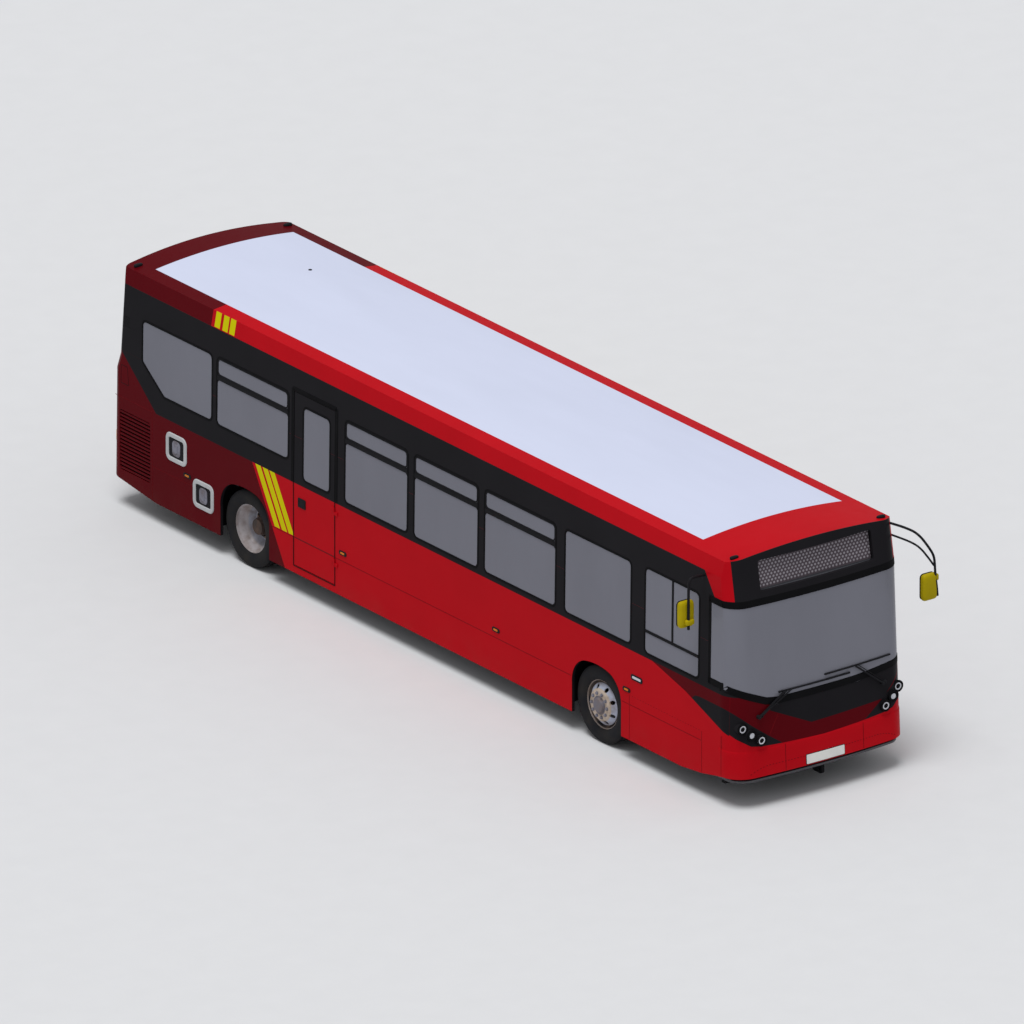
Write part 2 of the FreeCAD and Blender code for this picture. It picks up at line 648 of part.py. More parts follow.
def engine_cradle():
    """Rails dropped behind the drive axle to carry the engine, with their rear cross-member."""
    high = deck_rail_z()
    low = BAY_RAIL_Z
    outline = ((DROP_Y, high), (DROP_Y + DROP_RUN, low), (CRADLE_END_Y, low), (CRADLE_END_Y, low + RAIL_DEPTH),
               (DROP_Y + DROP_RUN + RAIL_DEPTH, low + RAIL_DEPTH), (DROP_Y, high + RAIL_DEPTH))
    rail = prism(outline, "x", RAIL_X, RAIL_X + RAIL_WIDTH)
    member_y = TAIL_JOINT_HIGH_Y
    member = box((-OUTRIGGER_X, OUTRIGGER_X), (member_y, member_y + 2 * MEMBER_HALF), (low, low + RAIL_DEPTH))
    return joined([rail, mirrored(rail), member])


def wheel_box(arch_shape, centre_y, inner_x, axle_slot):
    """Pressed-steel cover over a wheel, open below and towards the arch."""
    half, spring, top = arch_shape
    wide = (half + BOX_CLEAR, spring, top + 30)
    outside = arch(wide, centre_y, inner_x - BOX_SHEET, BODY_WIDTH / 2 - WALL, BOX_SHEET)
    inside = arch(wide, centre_y, inner_x, BODY_WIDTH / 2)
    keep = box((0, OUTSIDE), (centre_y - 900, centre_y + 900), (FLOOR_Z - FLOOR_SHEET, 1300))
    cover = outside.cut(inside).common(keep)
    if axle_slot:
        half_slot = AXLE_TUBE_R + 20
        slot = rectangle(centre_y - half_slot, centre_y + half_slot, 0, TYRE_RADIUS + AXLE_BUMP)
        cover = cover.cut(prism(slot, "x", inner_x - 50, inner_x + 50, half_slot - 5))
    return cover, outside


def floor_plate(inner, covers, outline):
    """Floor sheet of a folded outline (y, z), trimmed to the body and round the wheel boxes."""
    plate = prism(outline, "x", -OUTSIDE, OUTSIDE).common(inner)
    return cut(plate, covers + pivot_bores())


def floors(inner, covers):
    """Low floor, the step, the rear deck, and the cover over the engine that carries the rear bench."""
    t = FLOOR_SHEET
    deck_y = STEP_Y + STEP_RUN
    low = rectangle(FLOOR_FRONT_Y, STEP_Y, FLOOR_Z - t, FLOOR_Z)
    step = ((STEP_Y, FLOOR_Z - t), (STEP_Y + t, FLOOR_Z - t), (STEP_Y + t, STEP_Z - t), (deck_y, STEP_Z - t),
            (deck_y, STEP_Z), (STEP_Y, STEP_Z))
    deck = ((deck_y, STEP_Z - t), (deck_y + t, STEP_Z - t), (deck_y + t, DECK_Z - t), (BENCH_Y, DECK_Z - t),
            (BENCH_Y, DECK_Z), (deck_y, DECK_Z))
    cover = ((BENCH_Y, DECK_Z - t), (BENCH_Y + t, DECK_Z - t), (BENCH_Y + t, BENCH_Z - t), (BEHIND, BENCH_Z - t),
             (BEHIND, BENCH_Z), (BENCH_Y, BENCH_Z))
    return [floor_plate(inner, covers, outline) for outline in (low, step, deck, cover)]


# ---- axles and wheels --------------------------------------------------------------------
def front_axle():
    """Dropped beam under the floor with its kingpins and trailing arms."""
    x = KINGPIN_X
    half = ((0, 135), (x - 230, 135), (x - 115, 250), (x - 80, 404), (x, 404), (x, 524),
            (x - 130, 524), (x - 185, 440), (x - 215, 300), (x - 280, 225), (0, 225))
    beam = prism(half, "y", -45, 45)
    eye = rod(V(KINGPIN_X, 0, 404), V(KINGPIN_X, 0, 524), 45)
    pin = rod(V(KINGPIN_X, 0, 350), V(KINGPIN_X, 0, 578), KINGPIN_R)
    arm = box((RAIL_X, RAIL_X + 60), (45, 980), (150, 205))
    hanger = box((RAIL_X, RAIL_X + 60), (900, 980), (205, FLOOR_Z - FLOOR_SHEET - RAIL_DEPTH))
    side = joined([beam, eye, pin, arm, hanger])
    return joined([side, mirrored(side)])


def knuckle():
    """Kerb-side steering knuckle: forked round the beam's eye, with the wheel spindle."""
    x = KINGPIN_X
    fork = ((x - 50, 524 + RUN_GAP), (x + 52, 524 + RUN_GAP), (x + 52, 404 - RUN_GAP), (x - 50, 404 - RUN_GAP),
            (x - 50, 362), (x + 85, 362), (x + 85, 566), (x - 50, 566))
    yoke = prism(fork, "y", -42, 42)
    spindle = rod(V(x + 85, 0, TYRE_RADIUS), V(x + 200, 0, TYRE_RADIUS), SPINDLE_R)
    yoke = joined([yoke, spindle])
    return yoke.cut(rod(V(x, 0, 300), V(x, 0, 640), KINGPIN_R + RUN_GAP))


def tyre(x, y):
    """Solid tyre section: bead seat, bulged sidewalls, shoulders and tread."""
    half = TYRE_WIDTH / 2
    bead = RIM_WIDTH / 2 - FLANGE - RUN_GAP
    profile = ((-bead, RIM_RADIUS), (-bead, RIM_FLANGE + 1), (-half, 372), (-half + 12, TYRE_RADIUS - 22),
               (-half + 34, TYRE_RADIUS))
    whole = profile + tuple((-a, r) for a, r in reversed(profile))
    return turned(whole, (x, y, TYRE_RADIUS))


def hand_holes(x0, x1, y, pitch_radius, radius):
    """Ring of bores through a wheel disc."""
    holes = []
    for i in range(HAND_HOLES):
        turn = 2 * math.pi * (i + 0.5) / HAND_HOLES
        dy = pitch_radius * math.cos(turn)
        dz = pitch_radius * math.sin(turn)
        holes.append(rod(V(x0, y + dy, TYRE_RADIUS + dz), V(x1, y + dy, TYRE_RADIUS + dz), radius))
    return holes


def front_rim(y):
    """Steel disc wheel with its hub, turned in one: the disc domes out past the flange."""
    e = RIM_WIDTH / 2
    seat = RIM_RADIUS - RUN_GAP
    bore = SPINDLE_R + RUN_GAP
    profile = ((-e, RIM_FLANGE), (-e + FLANGE, RIM_FLANGE), (-e + FLANGE, seat), (e - FLANGE, seat),
               (e - FLANGE, RIM_FLANGE), (e, RIM_FLANGE), (e - 42, RIM_BORE), (e + 38, 175), (e + 41, 95),
               (e + 68, 80), (e + 68, 0), (e + 5, 0), (e + 5, bore), (0, bore), (0, 92), (e + 26, 172),
               (e - 58, 256), (-e, 277))
    rim = turned(profile, (WHEEL_X, y, TYRE_RADIUS))
    return rim.cut(hand_holes(WHEEL_X + 40, WHEEL_X + 200, y, 212, 26))


def rear_rims(y):
    """Twin wheels on one hub and brake drum: both discs meet between the tyres."""
    e = RIM_WIDTH / 2
    m = TWIN_SPACING / 2
    seat = RIM_RADIUS - RUN_GAP
    bore = REAR_SPINDLE_R + RUN_GAP
    outer_flange = ((m - e, RIM_FLANGE), (m - e + FLANGE, RIM_FLANGE), (m - e + FLANGE, seat),
                    (m + e - FLANGE, seat), (m + e - FLANGE, RIM_FLANGE), (m + e, RIM_FLANGE), (m - 20, RIM_BORE))
    dish = ((11, 205), (11, 130), (150, 92), (158, 0), (100, 0), (100, bore))
    inboard = ((-260, bore), (-260, 205), (-11, 205))
    inner_flange = ((-m + 20, 254), (-m - e, 277), (-m - e, RIM_FLANGE), (-m - e + FLANGE, RIM_FLANGE),
                    (-m - e + FLANGE, seat), (-m + e - FLANGE, seat), (-m + e - FLANGE, RIM_FLANGE),
                    (-m + e, RIM_FLANGE), (-m + e, 270), (0, 240), (m - e, 270))
    centre = (WHEEL_X - m, y, TYRE_RADIUS)
    rim = turned(outer_flange + dish + inboard + inner_flange, centre)
    return rim.cut(hand_holes(centre[0] - 5, WHEEL_X + 60, y, 172, 22))


def rear_axle():
    """Drive axle tube with its differential, spindles, seats and air springs."""
    y = WHEELBASE
    z = TYRE_RADIUS
    spindle_end = WHEEL_X - TWIN_SPACING / 2 + 96
    tube_end = REAR_BOX_X + 4
    casing = ((-spindle_end, 0), (-spindle_end, REAR_SPINDLE_R), (-tube_end - 10, REAR_SPINDLE_R),
              (-tube_end, AXLE_TUBE_R), (-240, AXLE_TUBE_R), (-150, 190), (60, 205), (150, 120),
              (240, AXLE_TUBE_R), (tube_end, AXLE_TUBE_R), (tube_end + 10, REAR_SPINDLE_R),
              (spindle_end, REAR_SPINDLE_R), (spindle_end, 0))
    pieces = [turned(casing, (0, y, z))]
    nose = rod(V(-45, y - 360, z), V(-45, y, z), 80)
    pieces.append(nose)
    top = DECK_Z - FLOOR_SHEET - 35 - RAIL_DEPTH
    for side in (1, -1):
        x = side * (RAIL_X + RAIL_WIDTH / 2)
        pieces.append(box((x - 40, x + 40), (y - 420, y + 420), (z + 50, z + 100)))
        for dy in (-330, 330):
            pieces.append(rod(V(x, y + dy, z + 100), V(x, y + dy, top), 78))
    return joined(pieces)


def engine():
    return box((-RAIL_X - 160, RAIL_X + 160), ENGINE_Y, (BAY_RAIL_Z + RAIL_DEPTH, 1150))


# ---- lamps, display, mirrors, wipers -----------------------------------------------------
def headlamps(layer):
    """Black cluster housings with their lamp bezels, and the clear lenses."""
    front, side = cluster_prisms()
    bed = joined([layer.common(front), layer.common(side)])
    bezels = lamp_pods(150.0, LAMP_BEZEL)
    bezels = [b.cut(form(30.0)) for b in bezels]
    housing = joined([bed] + bezels)
    housing = housing.cut(lamp_pods(60.0, 0.0))
    lenses = Part.makeCompound([rod(V(x, 6 - y, z), V(x, 60 - y, z), r) for x, y, z, r in LAMP_PLACES])
    return both_sides(housing), both_sides(lenses)


def destination_display(inner):
    """Sloping display board behind the header opening, with the sill in front of it."""
    low = nose_y(0, DISPLAY_LOW_Z) + DISPLAY_RECESS
    high = nose_y(0, DISPLAY_TOP_Z) + DISPLAY_RECESS
    slope = (high - low) / (DISPLAY_TOP_Z - DISPLAY_LOW_Z)
    top = CROWN_Z
    lip = DISPLAY_LOW_Z - 20
    rise = (top - lip) * slope
    corners = ((low - 80, lip), (low + 40, lip), (low + 40 + rise, top), (low + rise, top),
               (low, lip + 15), (low - 80, lip + 15))
    return prism(corners, "x", -DISPLAY_HALF, DISPLAY_HALF).common(inner)


def marker_lamps():
    """Oval side markers along the skirt and the lamps at the roof's corners."""
    lamps = []
    for i, y in enumerate(SIDE_MARKERS_Y):
        z = 850.0 if i == 0 else 780.0
        lamp = prism(((y - 65, z - 30), (y + 65, z - 30), (y + 65, z + 30), (y - 65, z + 30)), "x",
                     BODY_WIDTH / 2, BODY_WIDTH / 2 + 14, 29.0)
        lamps += [lamp, mirrored(lamp)]
    for x, y, z in ((HALF_WIDTH - 183, -2350.0, 2935.0), (HALF_WIDTH - 155, TAIL_Y - 390.0, 2950.0)):
        lamp = box((x - 60, x + 60), (y - 25, y + 25), (z, z + 40))
        lamp = lamp.cut(form(0))
        lamps += [lamp, mirrored(lamp)]
    return Part.makeCompound(lamps)


def tail_lamps():
    """Upright lamp cluster at each rear corner."""
    x0, x1, z0, z1 = TAIL_CLUSTER
    pad = form(-TAIL_PROUD).cut(form(0)).common(prism(rectangle(x0, x1, z0, z1), "y", TAIL_Y - 350, BEHIND, 40.0))
    return both_sides(pad)


def mirror_arms():
    out_x, out_y, out_z = MIRRORS[0]
    root = V(-side_x(2700) + 10, out_y, 2700)
    offside = tube((root, (out_x, out_y, 2730), (out_x, out_y, out_z + 165)), 28.0, 90.0)
    x, y, z = MIRRORS[1]
    kerb = tube(((HALF_WIDTH - 130, -2360, 2840), (x, y, 2860), (x, y, z + 165)), 28.0, 110.0)
    brace = rod(V(HALF_WIDTH - 100, -2400, 2700), V(x, y, 2680), 12)
    trim = form(0)
    return Part.makeCompound([offside.cut(trim), joined([kerb, brace]).cut(trim)])


def mirror_heads():
    """Rounded mirror shells under their arms."""
    heads = []
    for x, y, z in MIRRORS:
        head = prism(rectangle(x - 100, x + 100, z - 165, z + 165), "y", y - 45, y + 45, 45.0)
        heads.append(head)
    return Part.makeCompound(heads)


def bowed_strip(x0, x1, z0, z1, stand, depth):
    """Strip that follows the bow of the nose, standing off it by stand at mid height."""
    z = (z0 + z1) / 2
    middle = (x0 + x1) / 2

    def at(x, off):
        return V(x, nose_y(x, z) - off, z0)

    edges = [
        Part.Arc(at(x0, stand), at(middle, stand), at(x1, stand)).toShape(),
        Part.makeLine(at(x1, stand), at(x1, stand + depth)),
        Part.Arc(at(x1, stand + depth), at(middle, stand + depth), at(x0, stand + depth)).toShape(),
        Part.makeLine(at(x0, stand + depth), at(x0, stand)),
    ]
    return Part.Face(Part.Wire(edges)).extrude(V(0, 0, z1 - z0))


def wipers():
    """Arms on their pivots, each with its blade bowed to the glass."""

    def off_glass(x, z, stand):
        return V(x, nose_y(x, z) - stand, z)

    sets = []
    for pivot_x, elbow_x, start_x, end_x, blade_z in WIPERS:
        hub = rod(off_glass(pivot_x, WIPER_PIVOT_Z, -10), off_glass(pivot_x, WIPER_PIVOT_Z, 40), 22)
        arm = rod(off_glass(pivot_x, WIPER_PIVOT_Z, 30), off_glass(elbow_x, blade_z, 20), WIPER_ARM_R)
        blade = bowed_strip(start_x, end_x, blade_z - BLADE_R, blade_z + BLADE_R, 1.0, 2 * BLADE_R)
        sets.append(joined([hub.cut(form(0)), arm, blade]))
    return Part.makeCompound(sets)


# ---- doors -------------------------------------------------------------------------------
def leaf_shape(y0, y1, z0, z1, x, thickness, border, low_panel):
    """Framed door leaf and its pane, upright at x."""
    frame = box((x - thickness / 2, x + thickness / 2), (y0, y1), (z0, z1))
    light = rectangle(y0 + border, y1 - border, z0 + low_panel, z1 - border)
    frame = frame.cut(prism(light, "x", x - thickness, x + thickness, 50.0))
    pane = prism(light, "x", x - GLASS / 2, x + GLASS / 2, 50.0, -SEAL_GAP)
    return frame, pane


def entry_leaves():
    """Two inward-swinging leaves on top and bottom pivots, each with its pane."""
    leaves = []
    middle = ENTRY_Y + ENTRY_WIDTH / 2
    for pivot_y, way in entry_pivots():
        y0, y1 = sorted((pivot_y - way * PIVOT_EDGE, middle - way * LEAF_GAP / 2))
        z0 = ENTRY_SILL_Z + DOOR_GAP
        z1 = ENTRY_HEAD_Z - DOOR_GAP
        frame, pane = leaf_shape(y0, y1, z0, z1, LEAF_X, LEAF, 70.0, 150.0)
        low_pin = rod(V(LEAF_X, pivot_y, FLOOR_Z - 30), V(LEAF_X, pivot_y, z0), PIVOT_R)
        high_pin = rod(V(LEAF_X, pivot_y, z1), V(LEAF_X, pivot_y, ENTRY_HEAD_Z + 35), PIVOT_R)
        leaves.append((joined([frame, low_pin, high_pin]), pane))
    return leaves


def escape_door(layer, body):
    """Emergency door cut from the side itself, flush when shut."""
    y0, y1 = ESCAPE_Y
    z0, z1 = ESCAPE_Z
    leaf = body.common(box((-OUTSIDE, 220 - HALF_WIDTH), (y0 + DOOR_GAP, y1 - DOOR_GAP), (z0 + DOOR_GAP, z1 - DOOR_GAP)))
    light = prism(rectangle(*ESCAPE_GLASS), "x", -OUTSIDE, 220 - HALF_WIDTH, PANE_CORNER)
    pane = layer.common(prism(rectangle(*ESCAPE_GLASS), "x", -OUTSIDE, 220 - HALF_WIDTH, PANE_CORNER, -SEAL_GAP))
    barrels, _ = escape_hinges()
    return joined([leaf.cut(light)] + barrels), pane


def escape_hinges():
    """Two lift-off hinges on the door's front edge: leaf barrels, then body pins and barrels."""
    x = -(BODY_WIDTH / 2 + HINGE_R + 1)
    y = ESCAPE_Y[0] - 4
    leaf_parts = []
    body_parts = []
    for z in (620.0, 1250.0):
        leaf_barrel = rod(V(x, y, z + RUN_GAP), V(x, y, z + 45), HINGE_R)
        strap = box((x - 3, x + 3), (y, y + 60), (z + 2, z + 45))
        foot = box((x - 3, -BODY_WIDTH / 2), (y + 20, y + 60), (z + 2, z + 45))
        bore = rod(V(x, y, z), V(x, y, z + 60), HINGE_R / 2 + RUN_GAP)
        leaf_parts.append(joined([leaf_barrel, strap, foot]).cut(bore))
        body_barrel = rod(V(x, y, z - 45), V(x, y, z), HINGE_R)
        pin = rod(V(x, y, z - 45), V(x, y, z + 45), HINGE_R / 2)
        strap = box((x - 3, x + 3), (y - 60, y), (z - 45, z - 2))
        foot = box((x - 3, -BODY_WIDTH / 2), (y - 60, y - 20), (z - 45, z - 2))
        body_parts.append(joined([body_barrel, pin, strap, foot]))
    return leaf_parts, body_parts


def engine_door(body):
    """Top-hinged engine door with a louvred middle, and the hinge barrels of door and body."""
    x0, x1, z0, z1 = ENGINE_DOOR
    leaf = body.common(engine_opening(-DOOR_GAP))
    vent = rectangle(-500, 500, 720, 1120)
    leaf = leaf.cut(prism(vent, "y", TAIL_Y - 350, BEHIND, 30.0))
    spans = (-500 - LOUVRE_LAP, 500 + LOUVRE_LAP, 720, 1120)
    blades = louvres(spans, "y", (TAIL_Y - 60, TAIL_Y - 28), LOUVRE_PITCH, LOUVRE_RISE)
    y = REAR_HINGE_Y
    z = z1 + 4
    door_parts = []
    body_parts = []
    for x in (-500.0, 500.0):
        barrel = rod(V(x, y, z), V(x + 60, y, z), HINGE_R)
        strap = box((x, x + 60), (y - 3, y + 3), (z - 60, z))
        foot = box((x, x + 60), (y - 70, y + 3), (z - 60, z - 25))
        bore = rod(V(x - 5, y, z), V(x + 70, y, z), HINGE_R / 2 + RUN_GAP)
        door_parts.append(joined([barrel, strap, foot.cut(form(0))]).cut(bore))
        barrel = rod(V(x - 60, y, z), V(x - RUN_GAP, y, z), HINGE_R)
        pin = rod(V(x - 60, y, z), V(x + 60, y, z), HINGE_R / 2)
        strap = box((x - 60, x - 2), (y - 3, y + 3), (z, z + 60))
        foot = box((x - 60, x - 2), (y - 70, y + 3), (z + 25, z + 60))
        body_parts.append(joined([barrel, pin, strap, foot.cut(form(0))]))
    return joined([leaf] + blades + door_parts), body_parts


# ---- cab and saloon ----------------------------------------------------------------------
def cab_partition(inner):
    """Screen behind the driver with the fixed side panel ahead of the cab door."""
    t = CAB_SHEET
    rear = box((-OUTSIDE, CAB_X), (CAB_DOOR_Y[1] + 30, CAB_DOOR_Y[1] + 30 + t), (FLOOR_Z, 2100))
    side = box((CAB_X - t, CAB_X), (DASH_REAR_Y, CAB_DOOR_Y[0] - DOOR_GAP), (FLOOR_Z, CAB_DOOR_TOP))
    post = box((CAB_X - t, CAB_X), (CAB_DOOR_Y[1] + DOOR_GAP, CAB_DOOR_Y[1] + 31), (FLOOR_Z, 2100))
    pins = []
    for z in CAB_HINGE_Z:
        pins.append(rod(V(CAB_PIVOT[0], CAB_PIVOT[1], z - 40), V(CAB_PIVOT[0], CAB_PIVOT[1], z + 40), CAB_PIN_R))
        pins.append(rod(V(CAB_PIVOT[0], CAB_PIVOT[1], z - 40), V(CAB_PIVOT[0], CAB_PIVOT[1], z), CAB_HINGE_R))
        pins.append(box((CAB_X - 4, CAB_PIVOT[0]), (CAB_PIVOT[1] - 3, CAB_PIVOT[1] + 32), (z - 40, z)))
    return joined([rear.common(inner), side, post] + pins)


def cab_door():
    """Half-height door into the gangway, hinged on the partition post."""
    t = CAB_SHEET
    leaf = box((CAB_X - t, CAB_X), CAB_DOOR_Y, (FLOOR_Z + 40, CAB_DOOR_TOP))
    barrels = []
    for z in CAB_HINGE_Z:
        x, y = CAB_PIVOT
        barrel = rod(V(x, y, z + RUN_GAP), V(x, y, z + 40), CAB_HINGE_R)
        strap = box((CAB_X - 4, x), (y - 40, y), (z + 2, z + 40))
        barrels.append(joined([barrel, strap]).cut(rod(V(x, y, z), V(x, y, z + 50), CAB_PIN_R + RUN_GAP)))
    return joined([leaf] + barrels)


def dashboard(inner):
    """Instrument binnacle and shelf across the driver's side."""
    profile = ((-2500, 900), (DASH_REAR_Y - 20, 900), (DASH_REAR_Y, 990), (DASH_REAR_Y - 50, 1120),
               (DASH_REAR_Y - 190, 1165), (-2500, 1150))
    shelf = prism(profile, "x", -OUTSIDE, 300, 20.0).common(inner)
    leg = box((-OUTSIDE, CAB_X - CAB_SHEET - 4), (-2450, -2260), (FLOOR_Z, 900)).common(inner)
    return joined([shelf, leg])


def steering_wheel():
    """Six-sided rim, three spokes, boss, stem and column, drawn upright and then raked."""
    a = STEERING_GRIP
    grip = [V(STEERING_R + a * math.cos(t * math.pi / 3), 0, a * math.sin(t * math.pi / 3)) for t in range(6)]
    rim = Part.Face(Part.makePolygon(grip + [grip[0]])).revolve(V(0, 0, 0), AXES["z"], 360)
    boss = rod(V(0, 0, -40), V(0, 0, 12), 50)
    spokes = []
    for i in range(3):
        spoke = box((30, STEERING_R - 6), (-16, 16), (-8, 4))
        spokes.append(spoke.rotate(V(0, 0, 0), AXES["z"], 90 + 120 * i))
    stem = rod(V(0, 0, -180), V(0, 0, -30), 18)
    sleeve = rod(V(0, 0, -950), V(0, 0, -120), 34)
    wheel = joined([rim, boss, stem, sleeve] + spokes)
    wheel.rotate(V(0, 0, 0), AXES["x"], STEERING_RAKE)
    wheel.translate(STEERING)
    return wheel.common(box((-OUTSIDE, 0), (-2700, 0), (FLOOR_Z, 2000)))


def seat(x0, width, y, z, height, back):
    """Moulded seat shell with cushion and back in one side profile, on a plinth."""
    top = z + height
    s = SEAT_SHELL
    lean = SEAT_LEAN
    profile = ((y, top - s), (y, top, 25), (y + SEAT_DEPTH, top - 25), (y + SEAT_DEPTH + lean, top + back),
               (y + SEAT_DEPTH + lean + s, top + back, 25), (y + SEAT_DEPTH + s, top - s, 60))
    shell_part = prism(profile, "x", x0, x0 + width)
    plinth = box((x0 + 60, x0 + width - 60), (y + 120, y + SEAT_DEPTH - 60), (z, top - s))
    return joined([shell_part, plinth])


def seat_rows(covers):
    """Double seats on both sides of the gangway and the bench across the back."""
    seats = []
    for side, rows in zip((1, -1), LOW_ROWS):
        x0 = SEAT_X if side > 0 else -SEAT_X - SEAT_WIDTH
        for i in range(int(rows)):
            seats.append(seat(x0, SEAT_WIDTH, LOW_ROWS_Y + i * SEAT_PITCH, FLOOR_Z, SEAT_HEIGHT, BACK_HEIGHT))
        for i in range(int(DECK_ROWS)):
            y = DECK_ROWS_Y + i * SEAT_PITCH
            deck_seat = seat(x0, SEAT_WIDTH, y, DECK_Z, SEAT_HEIGHT, BACK_HEIGHT)
            seats.append(deck_seat.cut(covers))
    seats.append(seat(-BENCH_HALF, 2 * BENCH_HALF, BENCH_Y + 30, BENCH_Z, 160.0, BACK_HEIGHT - 60))
    return Part.makeCompound(seats)


def driver_seat():
    base = rod(V(DRIVER_X, -1230, FLOOR_Z), V(DRIVER_X, -1230, FLOOR_Z + 260), 150)
    chair = seat(DRIVER_X - 230, 460, -1450, FLOOR_Z + 250, 260, 700)
    return joined([base, chair])


def handrails(inner):
    """Ceiling rails with their upright poles: two from the low floor, one hanger over the deck."""
    start = LOW_ROWS_Y - 50
    feet = ((start, FLOOR_Z), (start + 3000 * SEAT_PITCH / 720, FLOOR_Z), (DECK_ROWS_Y + SEAT_PITCH - 10, GRAB_Z))
    sides = []
    for x in (POLE_X, -POLE_X):
        rail = rod(V(x, start, GRAB_Z), V(x, BENCH_Y - 300, GRAB_Z), POLE_R)
        poles = [rod(V(x, y, z), V(x, y, CROWN_Z + 10), POLE_R) for y, z in feet]
        sides.append(joined([rail] + poles).common(inner))
    return Part.makeCompound(sides)


# ---- writing -----------------------------------------------------------------------------
def write(name, shape):
    placed = shape.copy()
    placed.translate(ORIGIN_SHIFT)
    placed.exportStep(os.path.join("parts", name + ".step"))


def main():
    os.makedirs("parts", exist_ok=True)
    body = shell()
    inner = form(WALL)
    layer = glass_layer()
    lamp_layer = form(0).cut(form(30.0))

    offside_wall, nearside_wall = walls(body)
    _, escape_body = escape_hinges()
    door, door_body = engine_door(body)
    housings, lenses = headlamps(lamp_layer)
    clusters = list(cluster_prisms())
    clusters += [mirrored(c) for c in clusters]
    pods = lamp_pods(300.0, LAMP_BEZEL)
    clusters = [c.common(lamp_layer) for c in clusters] + pods + [mirrored(p) for p in pods]
    screen, panes = glazing(layer)

    write("offside_wall", joined([offside_wall] + escape_body))
    write("nearside_wall", nearside_wall)
    write("roof", roof(body))
    write("front_frame", front_frame(body))
    write("front_mask", front_mask(body, clusters))
    write("front_bumper", front_bumper())
    write("rear_body", joined([rear_body(body)] + door_body))
    write("windscreen", screen)
    write("saloon_glass", panes)
    write("engine_door", door)
    write("headlamp_housings", housings)
    write("headlamp_lenses", lenses)
    write("destination_display", destination_display(inner))
    write("marker_lamps", marker_lamps())
    write("tail_lamps", tail_lamps())
    write("mirror_arms", mirror_arms())
    write("mirror_heads", mirror_heads())
    write("wipers", wipers())

    emergency_door, emergency_glass = escape_door(layer, body)
    write("emergency_door", emergency_door)
    write("emergency_glass", emergency_glass)
    for (leaf, pane), end in zip(entry_leaves(), ("front", "rear")):
        write("entry_leaf_" + end, leaf)
        write("entry_glass_" + end, pane)

    front_box, front_cover = wheel_box(FRONT_ARCH, 0, FRONT_BOX_X, False)
    rear_box, rear_cover = wheel_box(REAR_ARCH, WHEELBASE, REAR_BOX_X, True)
    covers = [front_cover, mirrored(front_cover), rear_cover, mirrored(rear_cover)]
    write("wheel_boxes", Part.makeCompound([front_box, mirrored(front_box), rear_box, mirrored(rear_box)]))
    write("front_ladder", front_ladder())
    write("kick_rails", kick_rails())
    write("rear_ladder", rear_ladder())
    write("engine_cradle", engine_cradle())
    for name, plate in zip(("low_floor", "floor_step", "rear_deck", "engine_cover"), floors(inner, covers)):
        write(name, plate)
    write("front_axle", front_axle())
    write("rear_axle", rear_axle())
    write("engine", engine())

    sides = (("left", lambda s: s), ("right", mirrored))
    for name, place in sides:
        write("knuckle_" + name, place(knuckle()))
        write("front_rim_" + name, place(front_rim(0)))
        write("front_tyre_" + name, place(tyre(WHEEL_X, 0)))
        write("rear_rims_" + name, place(rear_rims(WHEELBASE)))
        twins = [tyre(WHEEL_X, WHEELBASE), tyre(WHEEL_X - TWIN_SPACING, WHEELBASE)]
        write("rear_tyres_" + name, place(Part.makeCompound(twins)))

    write("cab_partition", cab_partition(inner))
    write("cab_door", cab_door())
    write("dashboard", dashboard(inner))
    write("steering_wheel", steering_wheel())
    write("driver_seat", driver_seat())
    write("seats", seat_rows(covers))
    write("handrails", handrails(inner))


main()
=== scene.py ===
"""Looks of a single-deck city bus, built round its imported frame. Metres; +Y is the rear, +X the kerb side."""

import json
import math

import bmesh
import bpy
import numpy as np
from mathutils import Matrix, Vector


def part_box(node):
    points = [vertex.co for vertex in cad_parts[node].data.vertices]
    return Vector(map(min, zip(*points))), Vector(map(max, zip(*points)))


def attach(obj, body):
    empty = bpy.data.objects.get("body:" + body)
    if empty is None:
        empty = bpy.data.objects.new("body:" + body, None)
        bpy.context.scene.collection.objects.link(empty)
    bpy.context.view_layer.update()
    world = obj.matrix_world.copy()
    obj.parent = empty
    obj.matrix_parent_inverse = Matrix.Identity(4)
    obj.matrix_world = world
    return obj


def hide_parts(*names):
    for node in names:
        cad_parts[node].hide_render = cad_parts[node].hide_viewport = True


bl_info = {
    "name": "City bus",
    "version": (1, 0, 0),
    "blender": (4, 5, 0),
    "location": "3D View > Sidebar > City bus",
    "description": "Dresses the packed frame of a city bus with its paint, glass, tyres, lamps and saloon",
    "category": "Object",
}

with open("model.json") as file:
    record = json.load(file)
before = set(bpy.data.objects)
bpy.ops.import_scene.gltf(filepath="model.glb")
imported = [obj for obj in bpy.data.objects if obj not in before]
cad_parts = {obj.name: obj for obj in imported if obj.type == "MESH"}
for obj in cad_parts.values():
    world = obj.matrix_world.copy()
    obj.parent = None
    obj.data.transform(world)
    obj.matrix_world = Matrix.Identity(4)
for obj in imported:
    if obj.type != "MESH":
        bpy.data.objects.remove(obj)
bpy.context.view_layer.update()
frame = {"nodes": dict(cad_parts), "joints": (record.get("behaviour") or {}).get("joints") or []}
JOINTS = {joint["name"]: joint for joint in frame["joints"]}
AXLE_Y = JOINTS["steer_left"]["pos_m"][1]          # drawing place 0 is the front axle
WHEELBASE = JOINTS["roll_rear_left"]["pos_m"][1] - AXLE_Y
HUB_Z = JOINTS["roll_rear_left"]["pos_m"][2]
FRONT_WHEEL_X = JOINTS["roll_front_left"]["pos_m"][0]
TWIN_MID_X = JOINTS["roll_rear_left"]["pos_m"][0]
TWIN_SPACING = 2 * (FRONT_WHEEL_X - TWIN_MID_X)

